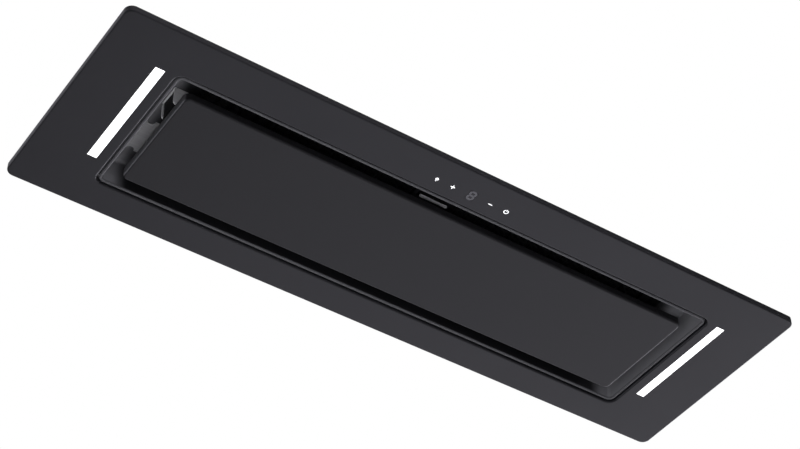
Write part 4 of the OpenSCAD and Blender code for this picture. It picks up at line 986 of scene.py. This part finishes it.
# %% Turned screw
# Profile of the head and shank: radius and height in millimetres
SCREW_PROFILE = [
    (0.0, 2.0), (0.9, 1.96), (1.8, 1.86), (2.6, 1.68), (3.2, 1.42), (3.65, 1.05), (3.9, 0.65),
    (4.0, 0.3), (3.95, 0.08), (3.8, 0.0), (2.0, 0.0), (2.0, -5.2), (1.5, -6.0), (0.0, -6.0),
]
SCREW_SIDES = 28


def turned(profile, sides):
    """A mesh turned round Z from a profile that starts and ends on the axis."""
    mesh = bmesh.new()
    rings = []
    for radius, z in profile:
        if radius == 0.0:
            rings.append([mesh.verts.new((0, 0, z / 1000))])
            continue
        turns = [math.tau * i / sides for i in range(sides)]
        rings.append(
            [
                mesh.verts.new((radius * math.cos(t) / 1000, radius * math.sin(t) / 1000, z / 1000))
                for t in turns
            ]
        )
    for upper, lower in zip(rings, rings[1:]):
        for i in range(sides):
            j = (i + 1) % sides
            corners = [upper[i % len(upper)], lower[i % len(lower)]]
            corners += [lower[j % len(lower)], upper[j % len(upper)]]
            mesh.faces.new(list(dict.fromkeys(corners)))
    bmesh.ops.recalc_face_normals(mesh, faces=mesh.faces)
    return mesh


pattern = new_object("screw_pattern", turned(SCREW_PROFILE, SCREW_SIDES))
print("turned screw:", len(pattern.data.polygons), "faces")

# %% [markdown]
# The cross recess.
# A punch presses the cross into the head, and it gets narrower towards its bottom. It could be
# built into the profile's mesh face by face, but a Boolean modifier cuts it with two crossed
# wedges, and is then applied so that the screw is one plain mesh.

# %% Cross recess
CROSS_WIDE = 4.4
CROSS_THICK = 0.95
CROSS_DEEP = 1.3
CROSS_ABOVE = 0.4
CROSS_TAPER = 0.55
HEAD_TOP = 2.0


def cross_cutter():
    """Two crossed wedges, wide at the top and narrow at the bottom."""
    mesh = bmesh.new()
    for turn in (0, 1):
        verts = []
        for z, shrink in ((HEAD_TOP - CROSS_DEEP, CROSS_TAPER), (HEAD_TOP + CROSS_ABOVE, 1.0)):
            for sx, sy in ((-1, -1), (1, -1), (1, 1), (-1, 1)):
                x, y = sx * CROSS_WIDE / 2 * shrink, sy * CROSS_THICK / 2 * shrink
                if turn:
                    x, y = -y, x
                verts.append(mesh.verts.new((x / 1000, y / 1000, z / 1000)))
        mesh.faces.new(reversed(verts[:4]))
        mesh.faces.new(verts[4:])
        for i in range(4):
            j = (i + 1) % 4
            mesh.faces.new([verts[i], verts[j], verts[j + 4], verts[i + 4]])
    return mesh


cutter = new_object("screw_cutter", cross_cutter())
cut = pattern.modifiers.new("cross", "BOOLEAN")
cut.object = cutter
cut.operation = "DIFFERENCE"
cut.solver = "EXACT"
cut.use_self = True
shaped = bpy.data.meshes.new_from_object(
    pattern.evaluated_get(bpy.context.evaluated_depsgraph_get())
)
for helper in (pattern, cutter):
    bpy.data.objects.remove(helper)
print("one screw has", len(shaped.polygons), "faces")

# %% [markdown]
# The screws in their places.
# Eight screws hold the blower box on the chassis, and four hold the spigot on the box. Twelve
# objects would do, but all the screws of one kind are one piece in the CAD model, so each kind is
# joined to one mesh. Each screw stops at its own angle, as a driver leaves it. The Edge Split
# modifier keeps the rims sharp while the domes are smooth.

# %% Screws
SCREW_TURN = 37
SHARP_EDGE = 38


def screws(name, places, node):
    """One mesh of many screws, which stands for a CAD node."""
    mesh = bmesh.new()
    for number, (x, y, z) in enumerate(places):
        start = len(mesh.verts)
        mesh.from_mesh(shaped)
        mesh.verts.ensure_lookup_table()
        turn = math.radians(SCREW_TURN * number)
        for vert in mesh.verts[start:]:
            u, v, w = vert.co
            vert.co = (
                u * math.cos(turn) - v * math.sin(turn) + x / 1000,
                u * math.sin(turn) + v * math.cos(turn) + y / 1000,
                w + z / 1000,
            )
    for face in mesh.faces:
        face.smooth = True
    piece = new_object(name, mesh)
    piece.data.materials.append(finishes["bright_zinc_plate"])
    smooth = piece.modifiers.new("edges", "EDGE_SPLIT")
    smooth.split_angle = math.radians(SHARP_EDGE)
    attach(piece, "hood")
    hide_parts(node)


# Places in millimetres, as in the CAD model
box_places = [(sx * 157, y, 91) for sx in (-1, 1) for y in (-91.5, -30.5, 30.5, 91.5)]
spigot_places = [(sx * 80, 24 + sy * 80, 251.5) for sx in (-1, 1) for sy in (-1, 1)]
screws("box_screw_heads", box_places, "box_screws")
screws("spigot_screw_heads", spigot_places, "spigot_screws")
print("screws:", len(box_places), "on the chassis,", len(spigot_places), "on the box")

# %% [markdown]
# The floor's finish.
# A studio floor is pale, matt paper. It could be lit by a lamp of its own, but that would also show
# on the hood, so the paper glows a little and stays pale so far below. The lower sheet of the board
# is plain white light, because the photograph's background is.

# %% Floor finish
tree, shader, coords = finish("pale_studio_floor", {"Roughness": 0.9})
paper_grain = add(tree, "TexNoise", {"Scale": 0.4, "Detail": 2.0}, {"Vector": coords})
vary(tree, shader, paper_grain.outputs["Fac"], [(0.3, "e9e9ea"), (0.7, "ededee")])
shader.inputs["Emission Color"].default_value = WHITE
shader.inputs["Emission Strength"].default_value = 0.08
floor.data.materials.append(finishes["pale_studio_floor"])
board_above.data.materials.append(finishes["pale_studio_floor"])

tree, shader, coords = finish(
    "plain_white_backdrop",
    {"Base Color": linear("000000"), "Roughness": 1.0, "Emission Color": WHITE},
)
shader.inputs["Specular IOR Level"].default_value = 0.0
shader.inputs["Emission Strength"].default_value = 1.0
board_below.data.materials.append(finishes["plain_white_backdrop"])
print("floor at", -FLOOR_DEPTH, "m")
